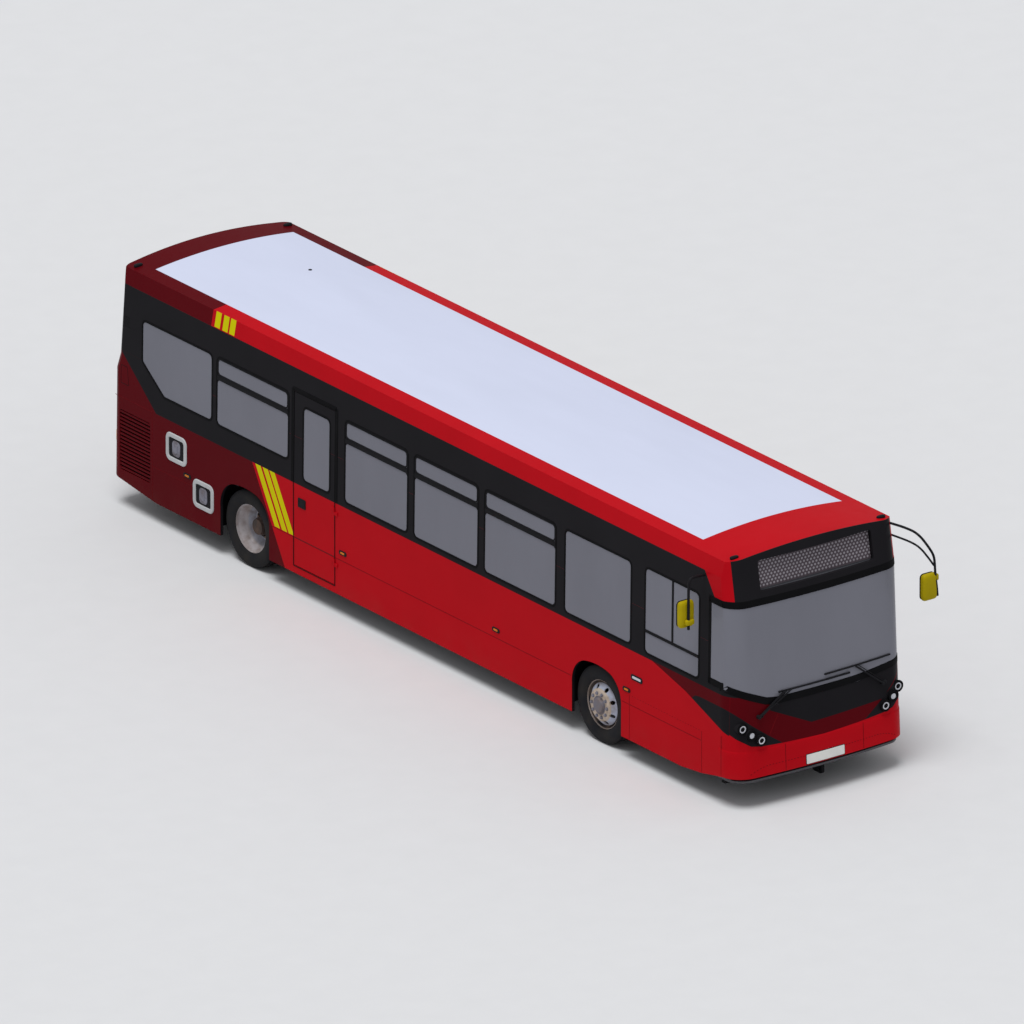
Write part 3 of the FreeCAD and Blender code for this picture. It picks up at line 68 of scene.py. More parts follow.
# Body form, metres
HALF_WIDTH = 1.220
TUMBLEHOME = 0.020
BELT_Z = 1.360
CANT_Z = 2.765
CREASE = (1.165, 2.955)
ROOF_EDGE = (0.985, 2.976)
CROWN_Z = 3.040
NOSE_BOW, NOSE_CORNER = 10.650, 0.268
TAIL_BOW, TAIL_CORNER = 15.000, 0.170
NOSE_LINES = (((-2.706, 0.0), (-2.575, 2.460)), ((-2.575, 2.460), (-2.460, 3.100)))
TAIL_LOW, TAIL_SHOULDER, TAIL_HIGH = (
    ((9.350, 0.0), (9.315, 1.700)),
    ((9.315, 1.700), (9.240, 1.900)),
    ((9.240, 1.900), (9.130, 3.100)),
)

# Glazing: (front end, rear end, sill, head, has a hopper, sides)
TRANSOM = (2.150, 2.200)
PANE_CORNER = 0.060
PANES = (
    (0.790, 2.120, 1.430, 2.420, True, (1, -1)),
    (2.260, 3.460, 1.430, 2.420, True, (1, -1)),
    (3.600, 4.780, 1.430, 2.420, True, (1, -1)),
    (5.880, 7.240, 1.605, 2.420, True, (1, -1)),
    (-0.630, 0.600, 1.430, 2.420, False, (1, -1)),
    (4.920, 5.740, 1.430, 2.420, False, (1,)),
    (-1.910, -0.910, 1.420, 2.440, False, (-1,)),
)
QUARTER_LIGHT = ((7.350, 1.610), (8.260, 1.610), (8.680, 1.920), (8.680, 2.415), (7.350, 2.415))
ESCAPE_GLASS = (5.085, 5.580, 1.440, 2.325)
ESCAPE_DOOR = (4.980, 5.760, 0.345, 2.475)
REAR_LIGHT = (-0.850, 0.850, 1.790, 2.430)

# Livery, as slanted places along the side and heights
SLANT = 0.567
REAR_STARTS = 6.560
STRIPES = ((6.400, 6.500), (6.260, 6.360), (6.130, 6.230))
STRIPES_Z = (0.700, 1.357)
ROOF_REAR_STARTS = 7.370
ROOF_STRIPES = ((7.210, 7.310), (7.060, 7.160), (6.930, 7.030))
ROOF_STRIPES_Z = (2.775, 2.955)
WHITE_ROOF_Y = (-1.685, 8.740)
NOSE_EDGE = ((0.0, 0.702), (0.59, 0.722), (0.865, 0.738), (1.0, 0.762), (1.15, 0.857), (1.22, 0.930))
CLUSTER_EDGE = ((0.59, 0.730), (0.78, 0.857), (0.985, 1.008), (1.19, 1.181))


def srgb(red, green, blue, alpha=1.0):
    """Linear colour of a display colour given as 0 to 255."""
    channels = np.array([red, green, blue]) / 255.0
    low = channels / 12.92
    high = ((channels + 0.055) / 1.055) ** 2.4
    return (*np.where(channels <= 0.04045, low, high).tolist(), alpha)


# ---- surfaces of the body ---------------------------------------------------------------------
def bowed(x, bow, corner):
    """Setback of a bowed end across its width: a long arc, then a tight corner arc."""
    half = HALF_WIDTH
    rise = math.sqrt((bow - corner) ** 2 - (half - corner) ** 2)
    side_y = bow - rise
    tangent_x = (half - corner) * bow / (bow - corner)
    across = np.abs(x)
    middle = bow - np.sqrt(bow**2 - across**2)
    from_centre = np.clip(across - (half - corner), 0, corner)
    round_corner = side_y - np.sqrt(corner**2 - from_centre**2)
    return np.where(across <= tangent_x, middle, round_corner)


def on_line(line, z):
    """Place along the bus of a leaning line at height z, and the lean's stretch."""
    (y0, z0), (y1, z1) = line
    lean = (y1 - y0) / (z1 - z0)
    return y0 + lean * (z - z0), math.hypot(1, lean)


def nose_y(x, z):
    """Front surface: the rearmost of the two leaning bowed faces."""
    faces = []
    for line in NOSE_LINES:
        y, stretch = on_line(line, z)
        faces.append(y + bowed(x, NOSE_BOW, NOSE_CORNER) * stretch)
    return np.maximum(*faces)


def tail_y(x, z):
    """Rear surface: the low face, cut by the farther of shoulder and high faces."""
    faces = []
    for line in (TAIL_LOW, TAIL_SHOULDER, TAIL_HIGH):
        y, stretch = on_line(line, z)
        faces.append(y - bowed(x, TAIL_BOW, TAIL_CORNER) * stretch)
    return np.minimum(faces[0], np.maximum(faces[1], faces[2]))


def side_x(z):
    """Half width: upright to the belt, then leaning in up to the cantrail."""
    lean = np.clip((z - BELT_Z) / (CANT_Z - BELT_Z), 0, 1) * TUMBLEHOME
    above = np.clip((z - CANT_Z) / (CREASE[1] - CANT_Z), 0, 1)
    return HALF_WIDTH - lean - above * (HALF_WIDTH - TUMBLEHOME - CREASE[0])


def roof_z(x):
    """Roof height across the bus: a flat crown arc, then a straight fall to the crease."""
    rise = CROWN_Z - ROOF_EDGE[1]
    radius = (ROOF_EDGE[0] ** 2 + rise**2) / (2 * rise)
    across = np.abs(x)
    crown = CROWN_Z - (radius - np.sqrt(radius**2 - np.minimum(across, ROOF_EDGE[0]) ** 2))
    fall = (ROOF_EDGE[1] - CREASE[1]) / (CREASE[0] - ROOF_EDGE[0])
    return crown - fall * np.maximum(across - ROOF_EDGE[0], 0)


def on_side(sign):
    """Places (y, z) on one side of the bus, lifted off it."""

    def place(uv, lift):
        y, z = uv[..., 0], uv[..., 1]
        return np.stack([sign * (side_x(z) + lift), y + AXLE_Y, z], -1)

    return place


def on_nose(uv, lift):
    """Places (x, z) on the front, lifted off it."""
    x, z = uv[..., 0], uv[..., 1]
    return np.stack([x, nose_y(x, z) - lift + AXLE_Y, z], -1)


def on_tail(uv, lift):
    """Places (x, z) on the rear, lifted off it."""
    x, z = uv[..., 0], uv[..., 1]
    return np.stack([x, tail_y(x, z) + lift + AXLE_Y, z], -1)


def on_wall(axis, level, sign=1):
    """Places on a flat wall square to an axis, lifted along sign."""

    def place(uv, lift):
        u, v = uv[..., 0], uv[..., 1]
        w = np.full_like(u, level) + sign * lift
        if axis == "x":
            return np.stack([w, u + AXLE_Y, v], -1)
        if axis == "y":
            return np.stack([u, w + AXLE_Y, v], -1)
        return np.stack([u, v + AXLE_Y, w], -1)

    return place


# ---- shapes -----------------------------------------------------------------------------------
def sheet(points, wrap_rows=False, wrap_columns=False):
    """Shape from a grid of points (rows, columns, 3): one four-sided face for each cell."""
    rows, columns = points.shape[:2]
    r = np.arange(rows if wrap_rows else rows - 1)[:, None]
    c = np.arange(columns if wrap_columns else columns - 1)[None, :]
    after_r, after_c = (r + 1) % rows, (c + 1) % columns
    corners = [r * columns + c, r * columns + after_c, after_r * columns + after_c, after_r * columns + c]
    return points.reshape(-1, 3), np.stack(corners, -1).reshape(-1, 4)


def capped(points):
    """The grid with its first and last rows drawn together to their middles, which closes the ends."""
    first = np.broadcast_to(points[:1].mean(1, keepdims=True), points[:1].shape)
    final = np.broadcast_to(points[-1:].mean(1, keepdims=True), points[-1:].shape)
    return np.concatenate([first, points, final])


def rounded(corners, radius, steps=6):
    """Closed outline through (u, v) corners, each turned by an arc of the given radius."""
    corners = np.array(corners, float)
    before = np.roll(corners, 1, 0) - corners
    after = np.roll(corners, -1, 0) - corners
    before /= np.linalg.norm(before, axis=1, keepdims=True)
    after /= np.linalg.norm(after, axis=1, keepdims=True)
    half = np.arccos(np.clip((before * after).sum(1), -1, 1)) / 2
    radii = np.broadcast_to(radius, half.shape)
    inward = before + after
    inward /= np.linalg.norm(inward, axis=1, keepdims=True)
    centre = corners + inward * (radii / np.sin(half))[:, None]
    start = corners + before * (radii / np.tan(half))[:, None] - centre
    end = corners + after * (radii / np.tan(half))[:, None] - centre
    sweep = np.linspace(0, 1, steps)[None, :, None]
    angle = (math.pi - 2 * half)[:, None, None]
    points = (start[:, None] * np.sin((1 - sweep) * angle) + end[:, None] * np.sin(sweep * angle)) / np.sin(angle)
    return (centre[:, None] + points).reshape(-1, 2)


def rectangle(u0, u1, v0, v1, radius, steps=6):
    return rounded(((u0, v0), (u1, v0), (u1, v1), (u0, v1)), radius, steps)


def dense(outline, gap=0.08):
    """Outline with long straight runs divided, so that it follows a curved surface."""
    following = np.roll(outline, -1, 0)
    counts = np.maximum(1, np.ceil(np.linalg.norm(following - outline, axis=1) / gap)).astype(int)
    index = np.repeat(np.arange(len(outline)), counts)
    part = (np.arange(counts.sum()) - np.repeat(np.cumsum(counts) - counts, counts)) / np.repeat(counts, counts)
    return outline[index] + (following - outline)[index] * part[:, None]


def outward(path, closed):
    """Unit vectors square to a path, to its right hand, stretched at its turns."""
    if closed:
        back = path - np.roll(path, 1, 0)
        ahead = np.roll(path, -1, 0) - path
    else:
        run = np.diff(path, axis=0)
        back = np.concatenate([run[:1], run])
        ahead = np.concatenate([run, run[-1:]])
    back = back / np.linalg.norm(back, axis=1, keepdims=True)
    ahead = ahead / np.linalg.norm(ahead, axis=1, keepdims=True)
    along = back + ahead
    along /= np.linalg.norm(along, axis=1, keepdims=True)
    stretch = 1 / np.maximum((along * ahead).sum(1), 0.5)
    return np.stack([along[:, 1], -along[:, 0]], -1) * stretch[:, None]


def ribbon(path, profile, place, closed=True):
    """A section of (distance outward, lift) carried along a path on a surface."""
    path = np.array(path, float)
    profile = np.array(profile, float)
    across = outward(path, closed)
    uv = path[:, None] + across[:, None] * profile[None, :, :1]
    points = place(uv, np.broadcast_to(profile[None, :, 1], uv.shape[:2]))
    return sheet(points if closed else capped(points), wrap_rows=closed, wrap_columns=True)


def line_path(start, end, gap=0.1):
    """Straight path in pieces short enough to follow a curved surface."""
    start, end = np.array(start, float), np.array(end, float)
    count = max(2, int(np.linalg.norm(end - start) / gap) + 1)
    return start + (end - start) * np.linspace(0, 1, count)[:, None]


def bar(width, high, edge=0.002, low=-0.001):
    """Square section for a ribbon with chamfered upper edges."""
    w = width / 2
    return np.array([(w, low), (w, high - edge), (w - edge, high), (-w + edge, high), (-w, high - edge), (-w, low)])


def pad(outline, rows, place, rings=3):
    """Closed plate on a surface: rows of (inset, lift) from its front face round to its back."""
    outline = np.array(outline, float)
    across = outward(outline, True)
    middle = outline.mean(0)
    loops = []
    first = outline - across * rows[0][0]
    last = outline - across * rows[-1][0]
    for share in np.arange(rings) / rings:
        loops.append((middle + (first - middle) * share, rows[0][1]))
    for inset, lift in rows:
        loops.append((outline - across * inset, lift))
    loops.append((np.broadcast_to(last.mean(0), last.shape), rows[-1][1]))
    points = np.stack([place(uv, np.full(len(uv), lift)) for uv, lift in loops])
    return sheet(points, wrap_columns=True)


def plate(outline, high, place, edge=0.003, low=-0.002, rings=3):
    """Closed plate with a chamfered edge."""
    return pad(outline, ((edge, high), (0, high - edge), (0, low)), place, rings)


def turned(profile, centre, axis="x", side=1, steps=48, close=False):
    """Profile of (distance along the axis, radius) spun round a centre."""
    profile = np.array(profile, float)
    angle = np.linspace(0, 2 * math.pi, steps, endpoint=False)[:, None]
    along = np.broadcast_to(side * profile[:, 0], (steps, len(profile)))
    u, v = profile[:, 1] * np.cos(angle), profile[:, 1] * np.sin(angle)
    order = {"x": (along, u, v), "y": (u, along, v), "z": (u, v, along)}[axis]
    return sheet(np.stack(order, -1) + np.array(centre), wrap_rows=True, wrap_columns=close)


def pipe(path, radius, sides=10, wrap=False):
    """Round bar along a path in space; radius may change along it."""
    path = np.array(path, float)
    along = np.roll(path, -1, 0) - np.roll(path, 1, 0) if wrap else np.gradient(path, axis=0)
    along /= np.linalg.norm(along, axis=1, keepdims=True)
    spare = np.eye(3)[np.argmin(np.abs(along).max(0))]
    first = np.cross(along, spare)
    first /= np.linalg.norm(first, axis=1, keepdims=True)
    second = np.cross(along, first)
    angle = np.linspace(0, 2 * math.pi, sides, endpoint=False)[None, :, None]
    radius = np.broadcast_to(radius, len(path))[:, None, None]
    points = path[:, None] + radius * (np.cos(angle) * first[:, None] + np.sin(angle) * second[:, None])
    return sheet(points if wrap else capped(points), wrap_rows=wrap, wrap_columns=True)


def eased(points, rounds=3):
    """Path with its corners cut again and again, which leaves them round."""
    path = np.array(points, float)
    for _ in range(rounds):
        near = path[:-1] * 0.75 + path[1:] * 0.25
        far = path[:-1] * 0.25 + path[1:] * 0.75
        path = np.concatenate([path[:1], np.stack([near, far], 1).reshape(-1, path.shape[1]), path[-1:]])
    return path


def add(name, shapes, finish, body="bus_body", replaces=(), crease=32):
    """One finished piece from its shapes: doubles merged, faces outward, sharp only past the crease angle."""
    counts = np.cumsum([0] + [len(points) for points, _ in shapes])
    points = np.concatenate([points for points, _ in shapes])
    faces = np.concatenate([quads + start for (_, quads), start in zip(shapes, counts)])
    mesh = bpy.data.meshes.new(name)
    mesh.vertices.add(len(points))
    mesh.vertices.foreach_set("co", points.astype(np.float32).ravel())
    mesh.loops.add(faces.size)
    mesh.loops.foreach_set("vertex_index", faces.astype(np.int32).ravel())
    mesh.polygons.add(len(faces))
    mesh.polygons.foreach_set("loop_start", np.arange(0, faces.size, 4, dtype=np.int32))
    mesh.update(calc_edges=True)
    work = bmesh.new()
    work.from_mesh(mesh)
    bmesh.ops.remove_doubles(work, verts=work.verts, dist=1e-6)
    bmesh.ops.recalc_face_normals(work, faces=work.faces)
    work.to_mesh(mesh)
    work.free()
    mesh.shade_smooth()
    mesh.set_sharp_from_angle(angle=math.radians(crease))
    piece = bpy.data.objects.new(name, mesh)
    bpy.context.scene.collection.objects.link(piece)
    mesh.materials.append(finish)
    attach(piece, body)
    if replaces:
        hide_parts(*replaces)
    return piece


# ---- finishes ---------------------------------------------------------------------------------
class Finish:
    """One material being put together: each method adds a node and returns what comes out of it."""

    def __init__(self, name, colour, rough=0.5, **sockets):
        self.material = bpy.data.materials.new(name)
        self.material.use_nodes = True
        self.tree = self.material.node_tree
        self.shader = self.tree.nodes["Principled BSDF"]
        self.set(**{"Base Color": colour, "Roughness": rough}, **sockets)
        place = self.node("Mapping")
        place.inputs["Location"].default_value = (0, -AXLE_Y, 0)
        self.feed(place.inputs["Vector"], self.node("TexCoord").outputs["Object"])
        self.place = place.outputs[0]
        apart = self.node("SeparateXYZ")
        self.feed(apart.inputs[0], self.place)
        self.x, self.y, self.z = apart.outputs

    def node(self, kind, **settings):
        made = self.tree.nodes.new("ShaderNode" + kind)
        for key, value in settings.items():
            setattr(made, key, value)
        return made

    def feed(self, socket, value):
        if isinstance(value, bpy.types.NodeSocket):
            self.tree.links.new(value, socket)
        else:
            socket.default_value = value

    def set(self, **sockets):
        for key, value in sockets.items():
            self.feed(self.shader.inputs[key], value)

    def math(self, operation, *values):
        made = self.node("Math", operation=operation)
        for socket, value in zip(made.inputs, values):
            self.feed(socket, value)
        return made.outputs[0]

    def add(self, *values):
        total = values[0]
        for value in values[1:]:
            total = self.math("ADD", total, value)
        return total

    def all(self, *masks):
        total = masks[0]
        for mask in masks[1:]:
            total = self.math("MULTIPLY", total, mask)
        return total

    def any(self, *masks):
        total = masks[0]
        for mask in masks[1:]:
            total = self.math("MAXIMUM", total, mask)
        return total

    def no(self, mask):
        return self.math("SUBTRACT", 1.0, mask)

    def ramp(self, value, start, end, low=0.0, high=1.0):
        made = self.node("MapRange", clamp=True)
        for socket, given in zip(made.inputs, (value, start, end, low, high)):
            self.feed(socket, given)
        return made.outputs[0]

    def above(self, value, level, soft=0.0012):
        return self.ramp(value, level - soft, level + soft)

    def below(self, value, level, soft=0.0012):
        return self.ramp(value, level - soft, level + soft, 1.0, 0.0)

    def between(self, value, low, high, soft=0.0012):
        return self.all(self.above(value, low, soft), self.below(value, high, soft))

    def past(self, u, v, start, end, soft=0.0012):
        """1 on the left hand of the line from start to end, 0 on its right."""
        du, dv = end[0] - start[0], end[1] - start[1]
        length = math.hypot(du, dv)
        across = self.math("MULTIPLY_ADD", u, -dv / length, (start[0] * dv - start[1] * du) / length)
        across = self.math("MULTIPLY_ADD", v, du / length, across)
        return self.above(across, 0.0, soft)

    def inside(self, u, v, corners, soft=0.0012):
        """1 inside a convex outline given anticlockwise."""
        return self.all(*[self.past(u, v, a, b, soft) for a, b in zip(corners, corners[1:] + corners[:1])])

    def mix(self, factor, under, over, blend="MIX"):
        made = self.node("Mix", data_type="RGBA", blend_type=blend)
        for index, value in ((0, factor), (6, under), (7, over)):
            self.feed(made.inputs[index], value)
        return made.outputs[2]

    def noise(self, scale, detail=3.0, stretch=(1, 1, 1), rough=0.55):
        made = self.node("TexNoise")
        place = self.place
        if stretch != (1, 1, 1):
            mapping = self.node("Mapping")
            mapping.inputs["Scale"].default_value = stretch
            self.feed(mapping.inputs["Vector"], place)
            place = mapping.outputs[0]
        for key, value in (("Vector", place), ("Scale", scale), ("Detail", detail), ("Roughness", rough)):
            self.feed(made.inputs[key], value)
        return made.outputs["Fac"]

    def bump(self, height, distance=0.001, strength=1.0):
        made = self.node("Bump")
        for key, value in (("Height", height), ("Distance", distance), ("Strength", strength)):
            self.feed(made.inputs[key], value)
        return self.feed(self.shader.inputs["Normal"], made.outputs[0])

    def shaded(self, colour, mottle, amount=0.06):
        """The colour, a little lighter and darker over the piece."""
        darker = tuple(c * (1 - amount) for c in colour[:3]) + (1.0,)
        lighter = tuple(min(1.0, c * (1 + amount)) for c in colour[:3]) + (1.0,)
        return self.mix(self.ramp(mottle, 0.3, 0.7), darker, lighter)

    def shaded_over(self, colour, mottle, amount=0.12):
        """Any colour, darkened a little in patches."""
        dark = (1 - amount, 1 - amount, 1 - amount, 1)
        return self.mix(self.ramp(mottle, 0.35, 0.7), colour, dark, "MULTIPLY")


def dress(node, finish):
    """Puts a finish on a CAD node."""
    materials = frame["nodes"][node].data.materials
    if len(materials):
        for index in range(len(materials)):
            materials[index] = finish
    else:
        materials.append(finish)


def livery(name, colours):
    """Gloss body paint: red, maroon nose and rear, slanted yellow stripes, black window band, white roof."""
    paint = Finish(name, (*colours.red, 1), 0.34, **{"Specular IOR Level": 0.02})
    x, y, z = paint.x, paint.y, paint.z
    across = paint.math("ABSOLUTE", x)
    mottle = paint.noise(1.3, 4)
    red = paint.shaded((*colours.red, 1), mottle, 0.035)
    maroon = paint.shaded((*colours.maroon, 1), mottle, 0.05)
    yellow = paint.shaded((*colours.yellow, 1), mottle, 0.04)
    black = paint.shaded((*colours.band, 1), mottle, 0.08)
    white = paint.shaded((*colours.roof, 1), paint.noise(2.0, 5, (1, 0.25, 1)), 0.02)

    slanted = paint.math("MULTIPLY_ADD", z, -SLANT, SLANT * STRIPES_Z[1])
    slanted = paint.add(slanted, y)
    low = paint.below(z, BELT_Z)
    high = paint.above(z, CANT_Z)
    rear = paint.any(paint.all(low, paint.above(slanted, REAR_STARTS)),
                     paint.all(high, paint.above(y, ROOF_REAR_STARTS)))
    rear = paint.any(rear, paint.above(y, 8.9), paint.all(paint.above(y, 8.3), paint.below(z, 2.2)))
    side_wedge = paint.any(
        paint.past(y, z, (-1.78, 1.160), (-1.05, 1.355)), paint.past(y, z, (-2.50, 0.872), (-1.78, 1.148))
    )
    side_wedge = paint.all(side_wedge, paint.between(y, -2.46, -1.05))
    edges = [paint.past(across, z, a, b) for a, b in zip(NOSE_EDGE, NOSE_EDGE[1:])]
    front_wedge = paint.all(paint.below(y, -2.46), *edges)
    nose = paint.all(paint.any(side_wedge, front_wedge), paint.below(z, 1.5))
    colour = paint.mix(paint.any(rear, nose), red, maroon)

    bands = paint.any(*[paint.between(slanted, a, b) for a, b in STRIPES])
    bands = paint.all(bands, paint.between(z, *STRIPES_Z))
    cove = paint.any(*[paint.between(y, a, b) for a, b in ROOF_STRIPES])
    cove = paint.all(cove, paint.between(z, *ROOF_STRIPES_Z))
    colour = paint.mix(paint.any(bands, cove), colour, yellow)

    sides = paint.all(
        paint.above(z, BELT_Z - 0.005),
        paint.below(z, CANT_Z),
        paint.past(y, z, (-2.00, 2.775), (-2.23, 2.45)),
        paint.any(
            paint.all(paint.above(z, 1.93), paint.past(y, z, (9.12, 2.00), (9.05, 2.75))),
            paint.all(paint.below(z, 1.93), paint.past(y, z, (8.42, 1.36), (9.10, 1.93))),
        ),
    )
    corner = paint.math("POWER", paint.math("MAXIMUM", paint.math("SUBTRACT", across, 0.952), 0.0), 2.0)
    corner = paint.math("SQRT", paint.math("MAXIMUM", paint.math("SUBTRACT", NOSE_CORNER**2, corner), 0.0))
    bow = paint.math("MULTIPLY", paint.math("POWER", paint.math("MINIMUM", across, 0.96), 2.0), 1 / (2 * NOSE_BOW))
    behind = paint.math("MULTIPLY_ADD", z, -0.18, 2.575 + 0.18 * 2.460 - NOSE_CORNER)
    behind = paint.add(paint.math("SUBTRACT", paint.add(y, behind, corner), bow))
    header = paint.all(paint.below(behind, 0.012), paint.below(across, 1.12), paint.above(z, 2.40))
    under = paint.inside(x, z,
                         [(-0.735, 1.30), (-0.735, 1.14), (-0.18, 0.88), (0.86, 0.905), (1.13, 1.16), (1.13, 1.30)])
    under = paint.all(under, paint.below(y, -2.30))
    back = paint.all(paint.above(y, 9.1), paint.below(across, 0.96), paint.between(z, 1.72, 2.52))
    cluster = paint.all(
        paint.any(side_wedge, front_wedge),
        paint.past(y, z, (-1.809, 1.160), (-1.857, 1.195)),
        paint.past(y, z, (-1.857, 1.195), (-1.967, 1.211)),
        paint.below(z, 1.209),
        paint.any(*[paint.past(across, z, b, a) for a, b in zip(CLUSTER_EDGE, CLUSTER_EDGE[1:])]),
        paint.below(y, -1.60),
    )
    recess = paint.all(paint.below(across, 0.83), paint.between(z, 2.545, 2.95), paint.above(behind, 0.010),
                       paint.below(y, -2.25))
    within = paint.all(paint.below(across, 1.2172), paint.below(z, BELT_Z - 0.01), paint.between(y, -1.95, 8.45))
    colour = paint.mix(paint.any(sides, header, under, back, cluster, recess, within), colour, black)

    panel = paint.all(paint.above(z, 2.96), paint.below(across, ROOF_EDGE[0] - 0.004),
                      paint.between(y, *WHITE_ROOF_Y))
    colour = paint.mix(panel, colour, white)

    dust = paint.all(paint.ramp(z, 0.62, 0.25), paint.ramp(paint.noise(3.5, 6), 0.42, 0.72, 0.0, 0.08))
    colour = paint.mix(dust, colour, srgb(96, 84, 74))
    rough = paint.add(paint.ramp(paint.noise(7.0, 4), 0.3, 0.7, 0.28, 0.38), paint.math("MULTIPLY", dust, 1.2))
    paint.set(**{"Base Color": colour, "Roughness": rough})
    paint.bump(paint.noise(45.0, 2), 0.0006, 0.25)
    return paint.material


def satin(name, colour, rough=0.45, grain=160.0, depth=0.0004, amount=0.12, **sockets):
    """Moulded or coated surface: even colour with a fine grain and a little wear in its gloss."""
    finish = Finish(name, colour, rough, **{"Specular IOR Level": 0.04, **sockets})
    mottle = finish.noise(2.5, 5)
    finish.set(**{"Base Color": finish.shaded(colour, mottle, amount)})
    finish.set(Roughness=finish.ramp(finish.noise(9.0, 4), 0.3, 0.7, rough - 0.07, rough + 0.07))
    finish.bump(finish.noise(grain, 2), depth, 0.35)
    return finish.material


def glass(name, colour, alpha, rough=0.06):
    """Tinted pane: deep grey with a clear sky gloss and a faint uneven film of dust."""
    finish = Finish(name, colour, rough, **{"Alpha": alpha, "Specular IOR Level": 0.08})
    film = finish.noise(1.1, 4, (1, 1, 0.4))
    finish.set(**{"Base Color": finish.shaded(colour, film, 0.05)})
    finish.set(Roughness=finish.ramp(film, 0.3, 0.7, rough, rough + 0.06))
    return finish.material


def tyre_rubber(name):
    """Road tyre: dark rubber, greyer with dust low on the sidewall and across the tread."""
    finish = Finish(name, srgb(30, 31, 34), 0.82, **{"Specular IOR Level": 0.15})
    dust = finish.ramp(finish.noise(5.0, 6), 0.40, 0.75, 0.0, 0.45)
    colour = finish.mix(dust, srgb(27, 28, 32), srgb(62, 58, 52))
    finish.set(**{"Base Color": colour, "Roughness": finish.ramp(dust, 0.0, 0.45, 0.74, 0.92)})
    finish.bump(finish.noise(260.0, 2), 0.0006, 0.4)
    return finish.material


def wheel_enamel(name, colour, stain, rings=()):
    """Silver wheel enamel with brown road dirt in patches; rings are (radius, colour) from the axle outwards, and the
    front wheel's near-black ring is painted shade.
    """
    finish = Finish(name, colour, 0.5, Metallic=0.1, **{"Specular IOR Level": 0.2})
    along = finish.math("MINIMUM", finish.math("ABSOLUTE", finish.y),
                        finish.math("ABSOLUTE", finish.math("SUBTRACT", finish.y, WHEELBASE)))
    up = finish.math("SUBTRACT", finish.z, HUB_Z)
    radius = finish.math("SQRT", finish.add(finish.math("POWER", along, 2.0), finish.math("POWER", up, 2.0)))
    painted = colour
    for reach, tint in rings:
        painted = finish.mix(finish.below(radius, reach, 0.004), painted, tint)
    dirt = finish.ramp(finish.noise(9.0, 6), 0.42, 0.66, 0.0, 0.55)
    mixed = finish.mix(dirt, painted, stain)
    finish.set(**{"Base Color": mixed, "Roughness": finish.ramp(dirt, 0.0, 0.55, 0.42, 0.75)})
    finish.bump(finish.noise(120.0, 3), 0.0005, 0.4)
    return finish.material


def cast_iron(name):
    """Black painted castings with worn, dusty high spots."""
    finish = Finish(name, srgb(34, 34, 36), 0.6)
    wear = finish.ramp(finish.noise(11.0, 6), 0.50, 0.74, 0.0, 0.6)
    finish.set(**{"Base Color": finish.mix(wear, srgb(30, 30, 32), srgb(84, 76, 68)),
                  "Roughness": finish.ramp(wear, 0, 0.6, 0.5, 0.8)})
    finish.bump(finish.noise(90.0, 4), 0.0015, 0.6)
    return finish.material


def speckled(name, colour, chips):
    """Slip-resistant floor covering: fine pale chips in a darker sheet."""
    finish = Finish(name, colour, 0.7)
    cells = finish.node("TexVoronoi")
    finish.feed(cells.inputs["Vector"], finish.place)
    cells.inputs["Scale"].default_value = 220.0
    chip = finish.below(cells.outputs["Distance"], 0.22, 0.05)
    finish.set(**{"Base Color": finish.mix(finish.math("MULTIPLY", chip, 0.6), colour, chips)})
    finish.bump(cells.outputs["Distance"], 0.0006, 0.4)
    return finish.material


def woven(name, ground, thread):
    """Bus moquette: fine woven ribs with a plain small diamond repeat."""
    finish = Finish(name, ground, 0.92, **{"Sheen Weight": 0.4, "Sheen Roughness": 0.5})
    diamonds = []
    for first, second in ((finish.x, finish.y), (finish.x, finish.z)):
        for sign in (1, -1):
            value = finish.add(finish.math("MULTIPLY", first, 62.0), finish.math("MULTIPLY", second, 62.0 * sign))
            diamonds.append(finish.math("SINE", value))
    pattern = finish.all(*[finish.ramp(d, -0.2, 0.2) for d in diamonds[:2]])
    ribs = finish.math("SINE", finish.math("MULTIPLY", finish.add(finish.x, finish.y, finish.z), 1900.0))
    colour = finish.mix(finish.math("MULTIPLY", pattern, 0.55), ground, thread)
    finish.set(**{"Base Color": finish.shaded_over(colour, finish.noise(14.0, 4))})
    finish.bump(ribs, 0.0004, 0.6)
    return finish.material


def lens(name, colour):
    """Ribbed lamp lens."""
    finish = Finish(name, colour, 0.16, **{"Specular IOR Level": 0.2})
    ribs = finish.math("SINE", finish.math("MULTIPLY", finish.z, 900.0))
    finish.set(**{"Base Color": finish.shaded(colour, finish.noise(20.0, 2), 0.15)})
    finish.bump(ribs, 0.0006, 0.5)
    return finish.material


def metal(name, colour, rough=0.25):
    """Bright metal with fine handling marks."""
    finish = Finish(name, colour, rough, Metallic=1.0)
    finish.set(Roughness=finish.ramp(finish.noise(30.0, 5), 0.3, 0.7, rough - 0.08, rough + 0.12))
    finish.bump(finish.noise(300.0, 2), 0.0001, 0.3)
    return finish.material


